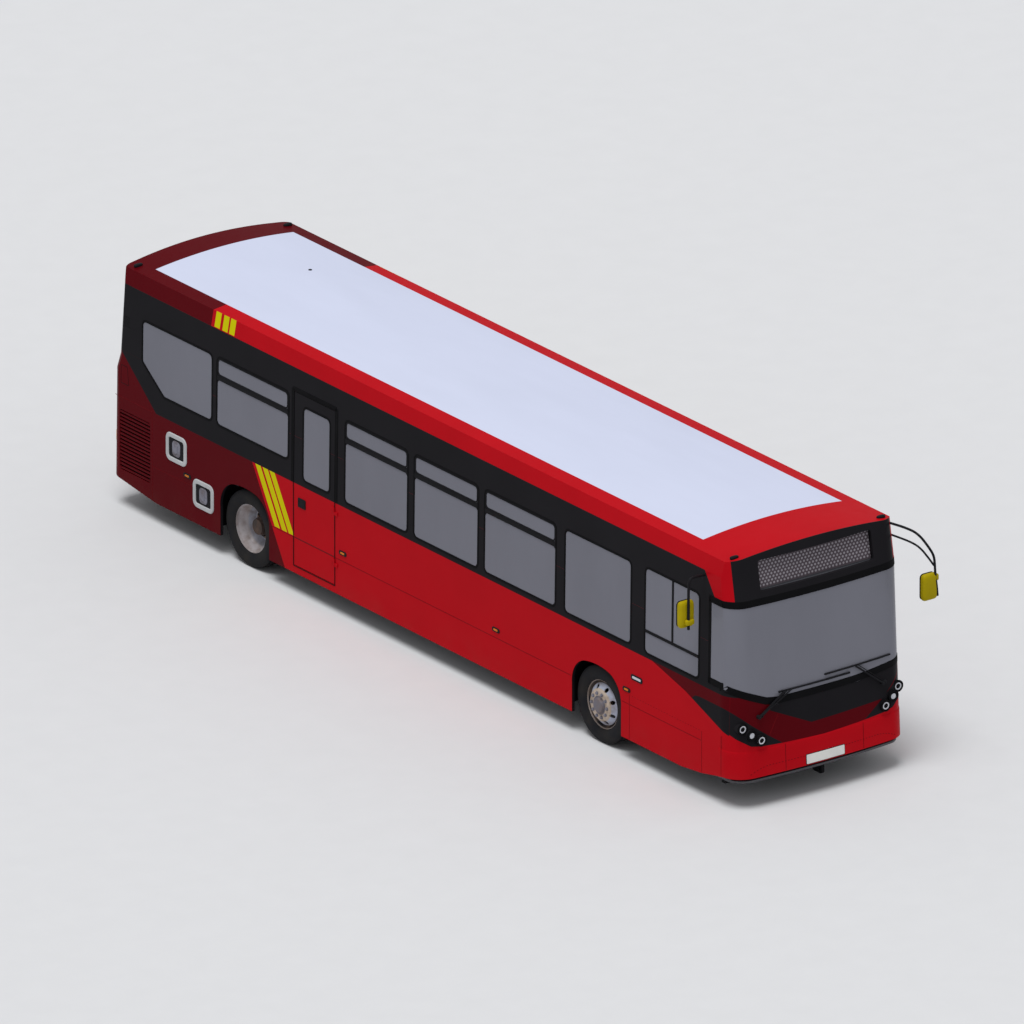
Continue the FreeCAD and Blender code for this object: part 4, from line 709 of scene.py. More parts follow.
def dotted_board(name, ground, dot):
    """Display board: round dots on a dark ground, each row half a pitch along from the last."""
    finish = Finish(name, ground, 0.6, **{"Specular IOR Level": 0.05})
    row = finish.math("MULTIPLY", finish.z, 1 / 0.036)
    shift = finish.math("MULTIPLY", finish.math("MODULO", finish.math("FLOOR", row), 2.0), 0.5)
    column = finish.add(finish.math("MULTIPLY", finish.x, 1 / 0.049), shift)
    across = finish.math("SUBTRACT", finish.math("FRACT", column), 0.5)
    up = finish.math("SUBTRACT", finish.math("FRACT", row), 0.5)
    from_middle = finish.add(finish.math("POWER", finish.math("MULTIPLY", across, 1.3), 2.0),
                             finish.math("POWER", up, 2.0))
    round_dot = finish.all(finish.below(from_middle, 0.12, 0.07), finish.above(finish.z, 2.59))
    ledge = finish.below(finish.z, 2.578)
    finish.set(**{"Base Color": finish.mix(ledge, finish.mix(round_dot, ground, dot), srgb(72, 73, 78))})
    finish.bump(round_dot, 0.0008, 0.5)
    return finish.material


FRONT_RINGS = (                                     # flange, painted shade in the rim's well, dish, face and hub, by radius from the axle
    # the first ring, near black, is painted shade of the rim's deep well between flange and dish
    (0.284, srgb(20, 20, 26)), (0.250, srgb(182, 188, 206)), (0.196, srgb(196, 180, 164)),
    (0.112, srgb(112, 110, 120)),
)
TWIN_RINGS = ((0.245, srgb(172, 176, 188)), (0.190, srgb(150, 128, 112)), (0.120, srgb(64, 54, 50)))
FINISHES = {}


def finish(name):
    """The named finish, made the first time it is asked for."""
    if name not in FINISHES:
        FINISHES[name] = MAKERS[name]()
    return FINISHES[name]


MAKERS = {
    "livery": lambda: livery("livery paint", bpy.context.scene.city_bus_livery),
    "black moulding": lambda: satin("black moulding", srgb(31, 31, 34), 0.42),
    "rubber seal": lambda: satin("rubber seal", srgb(15, 15, 17), 0.6, 220.0),
    "black frame": lambda: satin("black door frame", srgb(22, 22, 25), 0.38),
    "screen glass": lambda: glass("clear screen glass", srgb(128, 129, 139), 0.88),
    "tinted glass": lambda: glass("grey tinted glass", srgb(124, 125, 135), 0.90),
    "tyre": lambda: tyre_rubber("road tyre rubber"),
    "wheel": lambda: wheel_enamel("silver wheel enamel", srgb(196, 180, 170), srgb(128, 110, 96), FRONT_RINGS),
    "twin wheel": lambda: wheel_enamel("deep twin wheel enamel", srgb(186, 180, 182), srgb(118, 96, 82), TWIN_RINGS),
    "hub": lambda: wheel_enamel("dull hub casting", srgb(128, 128, 140), srgb(84, 68, 58)),
    "dirty hub": lambda: wheel_enamel("road-stained hub casting", srgb(70, 62, 58), srgb(44, 36, 32)),
    "panel seam": lambda: satin("panel seam", srgb(104, 10, 18), 0.6),
    "lamp ring": lambda: satin("silvered lamp ring", srgb(204, 205, 212), 0.3, 90.0),
    "iron": lambda: cast_iron("black painted castings"),
    "chassis": lambda: satin("satin chassis black", srgb(20, 20, 22), 0.6, 60.0, 0.0008),
    "floor": lambda: speckled("slip-resistant floor covering", srgb(72, 74, 79), srgb(150, 152, 158)),
    "mirror yellow": lambda: satin("yellow mirror shell", (*bpy.context.scene.city_bus_livery.mirror, 1), 0.4, 90.0),
    "cab grey": lambda: satin("grained cab moulding", srgb(64, 65, 69), 0.62, 320.0, 0.0008),
    "rail yellow": lambda: satin("powder-coated rail", srgb(214, 176, 24), 0.36, 240.0,
                                 **{"Specular IOR Level": 0.4}),
    "moquette": lambda: woven("seat moquette", srgb(44, 52, 92), srgb(120, 40, 58)),
    "seat shell": lambda: satin("moulded seat shell", srgb(58, 60, 66), 0.5, 280.0),
    "amber": lambda: lens("amber lens", srgb(196, 112, 10)),
    "red lens": lambda: lens("red lens", srgb(150, 14, 18)),
    "lamp cover": lambda: glass("clear lamp cover", srgb(170, 174, 182), 0.32, 0.04),
    "clear lens": lambda: lens("clear lens", srgb(196, 199, 206)),
    "chrome": lambda: metal("bright reflector", srgb(215, 217, 222), 0.16),
    "mirror glass": lambda: metal("mirror glass", srgb(190, 196, 204), 0.1),
    "filler grey": lambda: satin("pale grey filler frame", srgb(186, 188, 190), 0.4, 120.0),
    "plate": lambda: satin("blank number plate", srgb(226, 226, 222), 0.3, 60.0),
    "board": lambda: dotted_board("dotted display board", srgb(84, 76, 82), srgb(156, 151, 158)),
}


# ---- settings ---------------------------------------------------------------------------------
def colour_setting(name, description, red, green, blue):
    return bpy.props.FloatVectorProperty(
        name=name, description=description, subtype="COLOR", size=3, min=0, max=1, default=srgb(red, green, blue)[:3]
    )


class BusLivery(bpy.types.PropertyGroup):
    red: colour_setting("Red", "Body red", 183, 14, 26)
    maroon: colour_setting("Maroon", "Dark red of the nose and rear", 88, 8, 17)
    yellow: colour_setting("Yellow", "Slanted stripes", 204, 198, 4)
    band: colour_setting("Window band", "Black round the windows", 31, 30, 33)
    roof: colour_setting("Roof white", "Panel on the roof", 204, 210, 231)
    mirror: colour_setting("Mirror yellow", "Mirror shells", 168, 150, 14)


class BusSizes(bpy.types.PropertyGroup):
    seal_width: bpy.props.FloatProperty(
        name="Seal width", description="Rubber round each pane", default=0.026, min=0.01, unit="LENGTH"
    )
    tread_depth: bpy.props.FloatProperty(
        name="Tread depth", description="Depth of the tyres' grooves", default=0.011, min=0.0, unit="LENGTH"
    )
    wheel_nuts: bpy.props.IntProperty(name="Wheel nuts", description="Nuts on each wheel", default=10, min=5)


class BusStudio(bpy.types.PropertyGroup):
    azimuth: bpy.props.FloatProperty(
        name="Azimuth", description="Camera round the bus", default=math.radians(-36.76), subtype="ANGLE"
    )
    elevation: bpy.props.FloatProperty(
        name="Elevation", description="Camera above the horizon", default=math.radians(21.72), subtype="ANGLE"
    )
    width: bpy.props.FloatProperty(name="View width", description="Width seen at the bus", default=11.66,
                                   unit="LENGTH")
    lens: bpy.props.FloatProperty(name="Lens", description="Focal length in millimetres", default=1500.0, min=50.0)
    key: bpy.props.FloatProperty(name="Key light", description="Strength of the soft sun", default=2.1, min=0.0)
    sky: bpy.props.FloatProperty(name="Sky light", description="Strength of the even light", default=0.45, min=0.0)


class Piece:
    """What every operator of this add-on has in common."""

    bl_options = {"REGISTER", "UNDO"}


# ---- stage ------------------------------------------------------------------------------------
class CITYBUS_OT_stage(Piece, bpy.types.Operator):
    """Pale floor, even light, a soft sun and the camera"""

    bl_idname = "city_bus.stage"
    bl_label = "Stage"

    def execute(self, context):
        studio = context.scene.city_bus_studio
        scene = context.scene
        scene.view_settings.view_transform = "Standard"
        world = bpy.data.worlds.new("even sky")
        world.use_nodes = True
        tree = world.node_tree
        background = tree.nodes["Background"]
        path = tree.nodes.new("ShaderNodeLightPath")
        strength = tree.nodes.new("ShaderNodeMapRange")
        strength.inputs["To Min"].default_value = studio.sky
        strength.inputs["To Max"].default_value = 0.85
        tree.links.new(path.outputs["Is Camera Ray"], strength.inputs["Value"])
        tree.links.new(strength.outputs[0], background.inputs["Strength"])
        background.inputs["Color"].default_value = srgb(250, 250, 252)
        scene.world = world

        ground = bpy.data.meshes.new("floor")
        reach = 90.0
        ground.from_pydata([(-reach, -reach, 0), (reach, -reach, 0), (reach, reach, 0), (-reach, reach, 0)], [],
                           [(0, 1, 2, 3)])
        ground.materials.append(satin("pale studio floor", srgb(216, 217, 219), 0.85, 3.0, 0.0001, 0.01))
        floor = bpy.data.objects.new("studio_floor", ground)
        scene.collection.objects.link(floor)

        sun = bpy.data.lights.new("soft sun", "SUN")
        sun.energy = studio.key
        sun.angle = math.radians(28)
        lamp = bpy.data.objects.new("soft sun", sun)
        scene.collection.objects.link(lamp)
        lamp.rotation_euler = (math.radians(14.5), 0, math.radians(-67))

        data = bpy.data.cameras.new("studio camera")
        data.lens = studio.lens
        data.sensor_width = 36.0
        camera = bpy.data.objects.new("studio camera", data)
        scene.collection.objects.link(camera)
        azimuth, elevation = studio.azimuth, studio.elevation
        back = np.array(
            [math.sin(azimuth) * math.cos(elevation), -math.cos(azimuth) * math.cos(elevation), math.sin(elevation)]
        )
        aim = np.array([0.0, -0.006, 1.508])
        distance = studio.width * studio.lens / data.sensor_width
        camera.location = aim + back * distance
        camera.rotation_euler = (math.pi / 2 - elevation, 0, azimuth)
        data.clip_end = 1000
        scene.camera = camera
        return {"FINISHED"}


# ---- bodywork ---------------------------------------------------------------------------------
class CITYBUS_OT_bodywork(Piece, bpy.types.Operator):
    """Paint and finishes of the frame's own nodes"""

    bl_idname = "city_bus.bodywork"
    bl_label = "Bodywork"

    def execute(self, context):
        for name, nodes in NODE_FINISHES.items():
            for node in nodes:
                if node in frame["nodes"]:
                    dress(node, finish(name))
        return {"FINISHED"}


NODE_FINISHES = {
    "livery": ("offside_wall", "nearside_wall", "roof", "front_frame", "front_mask", "front_bumper", "rear_body",
               "engine_door", "emergency_door", "headlamp_housings"),
    "screen glass": ("windscreen",),
    "tinted glass": ("saloon_glass", "emergency_glass", "entry_glass_front", "entry_glass_rear"),
    "chassis": ("front_ladder", "kick_rails", "rear_ladder", "engine_cradle", "wheel_boxes"),
    "floor": ("low_floor", "floor_step", "rear_deck", "engine_cover"),
    "iron": ("front_axle", "rear_axle", "engine", "knuckle_left", "knuckle_right"),
    "black moulding": ("mirror_arms", "wipers", "steering_wheel"),
    "clear lens": ("headlamp_lenses",),
    "board": ("destination_display",),
    "amber": ("marker_lamps",),
    "red lens": ("tail_lamps",),
    "mirror yellow": ("mirror_heads",),
    "cab grey": ("cab_partition", "cab_door", "dashboard"),
    "moquette": ("seats", "driver_seat"),
    "rail yellow": ("handrails",),
    "black frame": ("entry_leaf_front", "entry_leaf_rear"),
    "wheel": ("front_rim_left", "front_rim_right"),
    "twin wheel": ("rear_rims_left", "rear_rims_right"),
    "tyre": ("front_tyre_left", "front_tyre_right", "rear_tyres_left", "rear_tyres_right"),
}


# ---- glazing ----------------------------------------------------------------------------------
class CITYBUS_OT_glazing(Piece, bpy.types.Operator):
    """Rubber seals round the panes, hopper frames and the cab window bars"""

    bl_idname = "city_bus.glazing"
    bl_label = "Glazing"

    def execute(self, context):
        width = context.scene.city_bus_sizes.seal_width
        seals, hoppers = [], []
        lip = ((-0.004, -0.004), (-0.004, 0.0015), (0.002, 0.004), (width - 0.004, 0.003), (width, 0.0),
               (width, -0.004))
        for start, end, sill, head, hopper, sides in PANES:
            for sign in sides:
                outline = dense(rectangle(start, end, sill, head, PANE_CORNER))
                seals.append(ribbon(outline, lip, on_side(sign)))
                if hopper:
                    middle = sum(TRANSOM) / 2
                    path = line_path((start, middle), (end, middle))
                    hoppers.append(ribbon(path, bar(TRANSOM[1] - TRANSOM[0] + 0.006, 0.005, low=-0.006),
                                          on_side(sign), False))
                    inner = dense(rectangle(start + 0.012, end - 0.012, TRANSOM[1] + 0.012, head - 0.012, 0.048))
                    hoppers.append(ribbon(inner, bar(0.018, 0.0035, low=-0.004), on_side(sign)))
        for sign in (1, -1):
            seals.append(ribbon(dense(rounded(QUARTER_LIGHT, 0.06)), lip, on_side(sign)))
        seals.append(ribbon(dense(rectangle(*REAR_LIGHT, 0.09)), lip, on_tail))
        add("window_seals", seals, finish("rubber seal"))
        add("hopper_frames", hoppers, finish("black frame"))
        glass_lip = dense(rectangle(*ESCAPE_GLASS, PANE_CORNER))
        add("emergency_door_glass_seal", [ribbon(glass_lip, lip, on_side(-1))], finish("rubber seal"),
            "emergency_door")
        bar_line = [
            ribbon(line_path((-1.91, 1.68), (-0.91, 1.68)), bar(0.035, 0.006, low=-0.006), on_side(-1), False),
            ribbon(line_path((-1.42, 1.70), (-1.42, 2.44)), bar(0.030, 0.006, low=-0.006), on_side(-1), False),
        ]
        add("cab_window_bars", bar_line, finish("black frame"))
        return {"FINISHED"}


# ---- wheels -----------------------------------------------------------------------------------
def tyre_surface(x, y, side, depth, steps=240):
    """Tyre: its section carried round, with grooves cut where waves along and round it say so."""
    half = 0.1275
    sidewall = [(-0.094, 0.288), (-0.104, 0.296), (-0.113, 0.312), (-0.121, 0.336), (-0.1262, 0.362),
                (-0.1272, 0.385),
                (-0.1255, 0.408), (-0.1215, 0.428), (-0.1155, 0.444), (-0.108, 0.4555)]
    tread_x = np.linspace(-0.099, 0.099, 56)
    tread_r = 0.4643 - 0.0045 * (np.abs(tread_x) / 0.099) ** 3
    a = np.concatenate([[p[0] for p in sidewall], tread_x, [-p[0] for p in reversed(sidewall)]])
    r = np.concatenate([[p[1] for p in sidewall], tread_r, [p[1] for p in reversed(sidewall)]])
    angle = np.linspace(0, 2 * math.pi, steps, endpoint=False)[:, None]
    grooves = np.zeros_like(a)
    for place in (-0.062, -0.021, 0.021, 0.062):
        grooves = np.maximum(grooves, (np.abs(a - place) < 0.0052) * 1.0)
    on_tread = np.abs(a) <= 0.0995
    blocks = np.where(np.abs(a) > 0.066, 60, 80)
    wave = np.abs(((angle * blocks / (2 * math.pi) + 0.35 * np.sign(a) * np.abs(a) / 0.099) % 1.0) - 0.5)
    sipes = (wave > 0.43) * np.where(np.abs(a) > 0.066, 1.0, 0.45) * on_tread
    shoulder = (np.abs(a) > 0.099) * (np.abs(a) < 0.117) * (r > 0.44)
    notches = (wave > 0.43) * shoulder * 0.8
    radius = r - depth * np.maximum(np.maximum(grooves * on_tread, sipes), notches)
    rings = 0.0015 * (np.abs(r - 0.345) < 0.006) + 0.0012 * (np.abs(r - 0.425) < 0.004)
    a = a + np.sign(a) * rings * (np.abs(a) > 0.11)
    a = np.clip(a, -half, half)
    points = np.stack([np.broadcast_to(side * a, radius.shape), radius * np.cos(angle), radius * np.sin(angle)], -1)
    inner = np.array([[side * 0.094, 0.286], [-side * 0.094, 0.286]])
    base = np.stack([np.broadcast_to(inner[:, 0], (steps, 2)), inner[:, 1] * np.cos(angle),
                     inner[:, 1] * np.sin(angle)], -1)
    points = np.concatenate([points, base], 1) + (x, y, HUB_Z)
    return sheet(points, wrap_rows=True, wrap_columns=True)


def nuts(x, y, side, pitch_radius, count, reach=0.024, across=0.0165):
    """Ring of six-sided wheel nuts with domed ends and round washers."""
    shapes = []
    for turn in np.arange(count) * 2 * math.pi / count:
        centre = (x, y + pitch_radius * math.cos(turn), HUB_Z + pitch_radius * math.sin(turn))
        shapes.append(turned([(-0.006, 0), (-0.006, across), (reach - 0.006, across), (reach, across * 0.7),
                              (reach, 0)],
                             centre, "x", side, 6))
        shapes.append(turned([(-0.006, 0), (-0.006, across * 1.35), (0.002, across * 1.35), (0.003, 0)], centre,
                             "x", side, 14))
    return shapes


class CITYBUS_OT_wheels(Piece, bpy.types.Operator):
    """Treaded tyres and wheel nuts"""

    bl_idname = "city_bus.wheels"
    bl_label = "Wheels"

    def execute(self, context):
        sizes = context.scene.city_bus_sizes
        for name, side in (("left", 1), ("right", -1)):
            front = (side * FRONT_WHEEL_X, AXLE_Y)
            tyre = [tyre_surface(*front, side, sizes.tread_depth)]
            add(f"front_tread_{name}", tyre, finish("tyre"), f"front_wheel_{name}", (f"front_tyre_{name}",))
            rear_y = AXLE_Y + WHEELBASE
            pair = [
                tyre_surface(side * (FRONT_WHEEL_X - spacing), rear_y, side, sizes.tread_depth)
                for spacing in (0, TWIN_SPACING)
            ]
            add(f"rear_treads_{name}", pair, finish("tyre"), f"rear_wheels_{name}", (f"rear_tyres_{name}",))
            fixings = nuts(side * (FRONT_WHEEL_X + 0.139), AXLE_Y, side, 0.1425, sizes.wheel_nuts)
            add(f"front_nuts_{name}", fixings, finish("hub"), f"front_wheel_{name}")
            mid = side * (FRONT_WHEEL_X - TWIN_SPACING / 2)
            fixings = nuts(mid + side * 0.013, rear_y, side, 0.150, sizes.wheel_nuts, 0.034)
            add(f"rear_nuts_{name}", fixings, finish("dirty hub"), f"rear_wheels_{name}")
        return {"FINISHED"}


# ---- sides ------------------------------------------------------------------------------------
FILLERS = ((7.82, 8.22, 0.87, 1.22), (7.30, 7.70, 0.455, 0.805))
FILLER_RIM = ((-0.022, -0.002), (-0.022, 0.004), (-0.014, 0.012), (0.026, 0.012), (0.035, 0.004), (0.035, -0.002))
GRILLE = (8.53, 9.12, 0.46, 1.20)
SKIRT_SEAM_Z, HATCH_TOP_Z, ENGINE_SEAM_Z = 0.685, 0.800, 1.355
SKIRT_SEAM_RUNS = ((-0.48, -1.97), (0.48, 6.22), (7.19, 8.48))          # front and rear end of each run
UPRIGHT_SEAMS = ((-1.98, 0.30, HATCH_TOP_Z), (-0.62, 0.26, HATCH_TOP_Z), (8.49, 0.27, ENGINE_SEAM_Z))
SEAM_HIGH, SEAM_CHAMFER = 0.0012, 0.0004


class CITYBUS_OT_sides(Piece, bpy.types.Operator):
    """Filler frames, wells and caps, panel seams and skirt crease"""

    bl_idname = "city_bus.sides"
    bl_label = "Sides"

    def execute(self, context):
        offside = on_side(-1)
        frames, wells, caps = [], [], []
        for y0, y1, z0, z1 in FILLERS:
            outline = dense(rectangle(y0 + 0.035, y1 - 0.035, z0 + 0.035, z1 - 0.035, 0.05))
            frames.append(ribbon(outline, FILLER_RIM, offside))
            wells.append(plate(rectangle(y0 + 0.05, y1 - 0.05, z0 + 0.05, z1 - 0.05, 0.04), 0.0015, offside))
            middle_y, middle_z = (y0 + y1) / 2, (z0 + z1) / 2
            cap = rectangle(middle_y - 0.075, middle_y + 0.075, middle_z - 0.095, middle_z + 0.095, 0.05)
            caps.append(plate(cap, 0.010, offside, edge=0.005))
            grip = rectangle(middle_y - 0.03, middle_y + 0.03, middle_z - 0.06, middle_z + 0.06, 0.025)
            caps.append(plate(grip, 0.018, offside, edge=0.006, low=0.008))
        add("filler_frames", frames, finish("filler grey"))
        add("filler_wells", wells, finish("black moulding"))
        add("filler_caps", caps, finish("hub"))
        seams = []
        line, dot = bar(0.006, SEAM_HIGH, SEAM_CHAMFER), bar(0.004, SEAM_HIGH, SEAM_CHAMFER)
        for sign in (1, -1):
            side = on_side(sign)
            for start, end in SKIRT_SEAM_RUNS:
                seams.append(ribbon(line_path((start, SKIRT_SEAM_Z), (end, SKIRT_SEAM_Z)), line, side, False))
            for y, z0, z1 in UPRIGHT_SEAMS:
                seams.append(ribbon(line_path((y, z0), (y, z1)), line, side, False))
            seams.append(ribbon(line_path((8.49, ENGINE_SEAM_Z), (9.2, ENGINE_SEAM_Z)), line, side, False))
            for y in np.arange(-1.94, -0.64, 0.05):
                seams.append(ribbon(line_path((y, HATCH_TOP_Z), (y + 0.02, HATCH_TOP_Z)), dot, side, False))
        add("panel_seams", seams, finish("panel seam"))
        return {"FINISHED"}


# ---- front ------------------------------------------------------------------------------------
LAMPS = ((0.879, -2.650, 0.820), (1.001, -2.630, 0.900), (1.100, -2.585, 0.985))
BUMPER_LIFT = 0.0065
BUMPER_TOP, BUMPER_END = 0.705, -2.300
BUMPER_SECTION = (                                  # share of the height from the skirt line to the top, and lift
    (0, BUMPER_LIFT), (0.25, BUMPER_LIFT), (0.5, BUMPER_LIFT), (0.75, BUMPER_LIFT), (0.93, 0.0062), (0.965, 0.0045),
    (0.99, 0.0016),
    (1, 0.0003), (0.70, 0.0003), (0.69, -0.038), (0, -0.038),
)
SKIRT_LINE = ((-2.750, -2.380, -1.980), (0.385, 0.370, 0.290))
PLATE_BOX = (-0.2675, 0.2675, 0.397, 0.507)
PLATE_HOLDER_BOX = (-0.275, 0.275, 0.390, 0.514)
SCREEN_HEAD_Z = 2.455
SCREEN_SILL = (                                     # x and height of the screen's lower edge
    (-1.25, 1.465), (-1.17, 1.425), (-0.78, 1.262), (-0.62, 1.243), (0.42, 1.243), (0.60, 1.250), (1.25, 1.300),
)
SCREEN_SEAL = ((-0.042, -0.004), (-0.042, 0.001), (-0.038, 0.004), (0.038, 0.004), (0.042, 0.001), (0.042, -0.004))
WIPER_ARMS = (((-0.90, 1.10), (-0.55, 1.34)), ((0.85, 1.10), (0.45, 1.405)))
WIPER_ARM = ((-0.006, 0.014), (-0.010, 0.030), (0.010, 0.030), (0.006, 0.014))
WIPER_LINK = ((-0.004, 0.014), (-0.004, 0.022), (0.004, 0.022), (0.004, 0.014))
WIPER_LINK_SHIFT = (0.045, 0.0)


def across_nose(z, lift_out=1.212, count=70):
    """Level path (x, z) across the bowed front, its places drawn closer at the corners as a sine does."""
    x = lift_out * np.sin(np.linspace(-math.pi / 2, math.pi / 2, count))
    return np.stack([x, np.interp(x, *np.array(z, float).T) if np.ndim(z) else np.full_like(x, z)], -1)


def dome(centre, radius, high, axis="y", side=-1, rows=7, steps=28):
    """Closed cap: height falls with the square of the distance from its middle, flat behind."""
    share = np.linspace(0, 1, rows)
    profile = [(high * (1 - s * s), radius * s) for s in share] + [(-0.006, radius), (-0.006, 0)]
    return turned(profile, centre, axis, side, steps)


def bumper_shape():
    """Bumper: across the nose x goes as a sine and y follows the nose, then straight back along each side;
    each place of the section stands off this path by its lift, square to it."""
    x = HALF_WIDTH * np.sin(np.linspace(-math.pi / 2, math.pi / 2, 110))
    x = np.concatenate([np.full(4, -HALF_WIDTH), x, np.full(4, HALF_WIDTH)])
    columns = []
    for share, lift in BUMPER_SECTION:
        z = np.full_like(x, 0.5)
        for _ in range(3):
            y = nose_y(x, z)
            y[:4] = np.linspace(BUMPER_END, y[4], 5)[:4]
            y[-4:] = y[:4][::-1]
            low = np.interp(y, *SKIRT_LINE)
            z = low + share * (BUMPER_TOP - low)
        along = np.gradient(np.stack([x, y], -1), axis=0)
        along /= np.linalg.norm(along, axis=1, keepdims=True)
        columns.append(np.stack([x + along[:, 1] * lift, y - along[:, 0] * lift + AXLE_Y, z], -1))
    return sheet(capped(np.stack(columns, 1)), wrap_columns=True)


class CITYBUS_OT_front(Piece, bpy.types.Operator):
    """Headlamps, screen seals, bumper skin and seams, number plate and wiper arms"""

    bl_idname = "city_bus.front"
    bl_label = "Front"

    def execute(self, context):
        bezels, rings, discs = [], [], []
        for index, (x, y, z) in enumerate(LAMPS):
            for sign in (1, -1):
                centre = (sign * x, y + AXLE_Y, z)
                bezels.append(turned([(-0.004, 0.0), (-0.004, 0.072), (0.010, 0.071), (0.014, 0.066), (0.010, 0.056),
                                      (0.006, 0.050), (0.004, 0.0)], centre, "y", -1, 48))
                if index == 1:
                    discs.append(dome(centre, 0.047, 0.011, rows=5, steps=40))
                    continue
                rings.append(turned([(0.003, 0.044), (0.0085, 0.043), (0.010, 0.038), (0.008, 0.030), (0.003, 0.028)],
                                    centre, "y", -1, 40, close=True))
                bezels.append(dome(centre, 0.027, 0.010))
        add("headlamp_bezels", bezels, finish("rubber seal"))
        add("headlamp_rings", rings, finish("lamp ring"), replaces=("headlamp_lenses",))
        add("daylight_lamps", discs, finish("clear lens"))

        seals = [ribbon(across_nose(SCREEN_HEAD_Z, 1.204), SCREEN_SEAL, on_nose, False),
                 ribbon(across_nose(SCREEN_SILL, 1.214), SCREEN_SEAL, on_nose, False)]
        post = [(u * 0.55, v) for u, v in SCREEN_SEAL]
        for sign, low in ((-1, 1.462), (1, 1.297)):
            side = on_side(sign)
            head = line_path((-2.350, SCREEN_HEAD_Z), (-2.10, SCREEN_HEAD_Z), 0.03)
            seals.append(ribbon(head, SCREEN_SEAL, side, False))
            seals.append(ribbon(line_path((-2.375, low), (-2.10, low), 0.03), SCREEN_SEAL, side, False))
            seals.append(ribbon(line_path((-2.118, low - 0.03), (-2.118, 2.48)), post, side, False))
        add("screen_seals", seals, finish("rubber seal"))

        add("bumper_skin", [bumper_shape()], finish("livery"), replaces=("front_bumper",))
        seams = []
        proud = bar(0.006, BUMPER_LIFT + SEAM_HIGH, SEAM_CHAMFER, BUMPER_LIFT)
        for x in (-0.55, 0.55):
            seams.append(ribbon(line_path((x, 0.390), (x, 0.700)), proud, on_nose, False))
        for start in np.arange(0.29, 1.04, 0.042):
            dots = [(x, 0.50 - 0.9 * max(0.0, x - 0.74) ** 2) for x in (start, start + 0.02)]
            for sign in (1, -1):
                seams.append(ribbon(line_path(*[(sign * x, z) for x, z in dots]), proud, on_nose, False))
        for sign in (1, -1):
            seams.append(ribbon(line_path((-2.352, 0.385), (-2.352, 0.86)), proud, on_side(sign), False))
        flush = bar(0.010, 0.0016, SEAM_CHAMFER, 0.0)
        seams.append(ribbon(line_path((-0.63, 1.08), (-0.75, 0.86)), flush, on_nose, False))
        add("bumper_seams", seams, finish("panel seam"))

        backing = plate(dense(rectangle(*PLATE_HOLDER_BOX, 0.01)), BUMPER_LIFT + 0.004, on_nose)
        outline = dense(rectangle(*PLATE_BOX, 0.008))
        face = plate(outline, BUMPER_LIFT + 0.0055, on_nose, edge=0.001, low=BUMPER_LIFT + 0.003)
        add("front_plate_holder", [backing], finish("black moulding"))
        add("front_plate", [face], finish("plate"))

        arms = []
        for start, end in WIPER_ARMS:
            path = line_path(start, end, 0.05)
            arms.append(ribbon(path, WIPER_ARM, on_nose, False))
            arms.append(ribbon(path + WIPER_LINK_SHIFT, WIPER_LINK, on_nose, False))
            for x, z in (start, start + np.array(WIPER_LINK_SHIFT)):
                arms.append(dome((x, float(nose_y(x, z)) + AXLE_Y, z), 0.024, 0.034))
        add("wiper_arms", arms, finish("black moulding"))
        return {"FINISHED"}


# ---- mirrors ----------------------------------------------------------------------------------
MIRRORS = ((-1.466, -2.000, 2.292), (1.352, -2.826, 2.213))
OFFSIDE_ARM = ((-1.185, -2.000, 2.700), (-1.330, -2.030, 2.725), (-1.450, -2.055, 2.730), (-1.471, -2.062, 2.640),
               (-1.471, -2.062, 2.400), (-1.471, -2.062, 2.120))
KERB_ARM = ((1.120, -2.355, 2.900), (1.257, -2.500, 2.850), (1.340, -2.640, 2.800), (1.394, -2.780, 2.655),
            (1.418, -2.835, 2.570), (1.414, -2.855, 2.460), (1.422, -2.858, 2.316), (1.440, -2.858, 2.200),
            (1.452, -2.855, 2.090))
KERB_BRACE = ((1.150, -2.375, 2.750), (1.285, -2.570, 2.692), (1.340, -2.680, 2.640), (1.380, -2.780, 2.540),
              (1.410, -2.845, 2.460))


def egg(centre, size, power, rows=28, steps=44):
    """Superellipsoid: each side follows a sine or cosine raised to the power, which squares it off."""
    v = np.linspace(-math.pi / 2, math.pi / 2, rows)[:, None]
    u = np.linspace(0, 2 * math.pi, steps, endpoint=False)[None, :]

    def squared(value, e):
        return np.sign(value) * np.abs(value) ** e

    x = size[0] * squared(np.cos(v), power) * squared(np.cos(u), power)
    z = size[2] * squared(np.cos(v), power) * squared(np.sin(u), power)
    y = size[1] * squared(np.sin(v), 0.8) * np.ones_like(u)
    return sheet(np.stack([x, y, z], -1) + np.array(centre), wrap_columns=True)


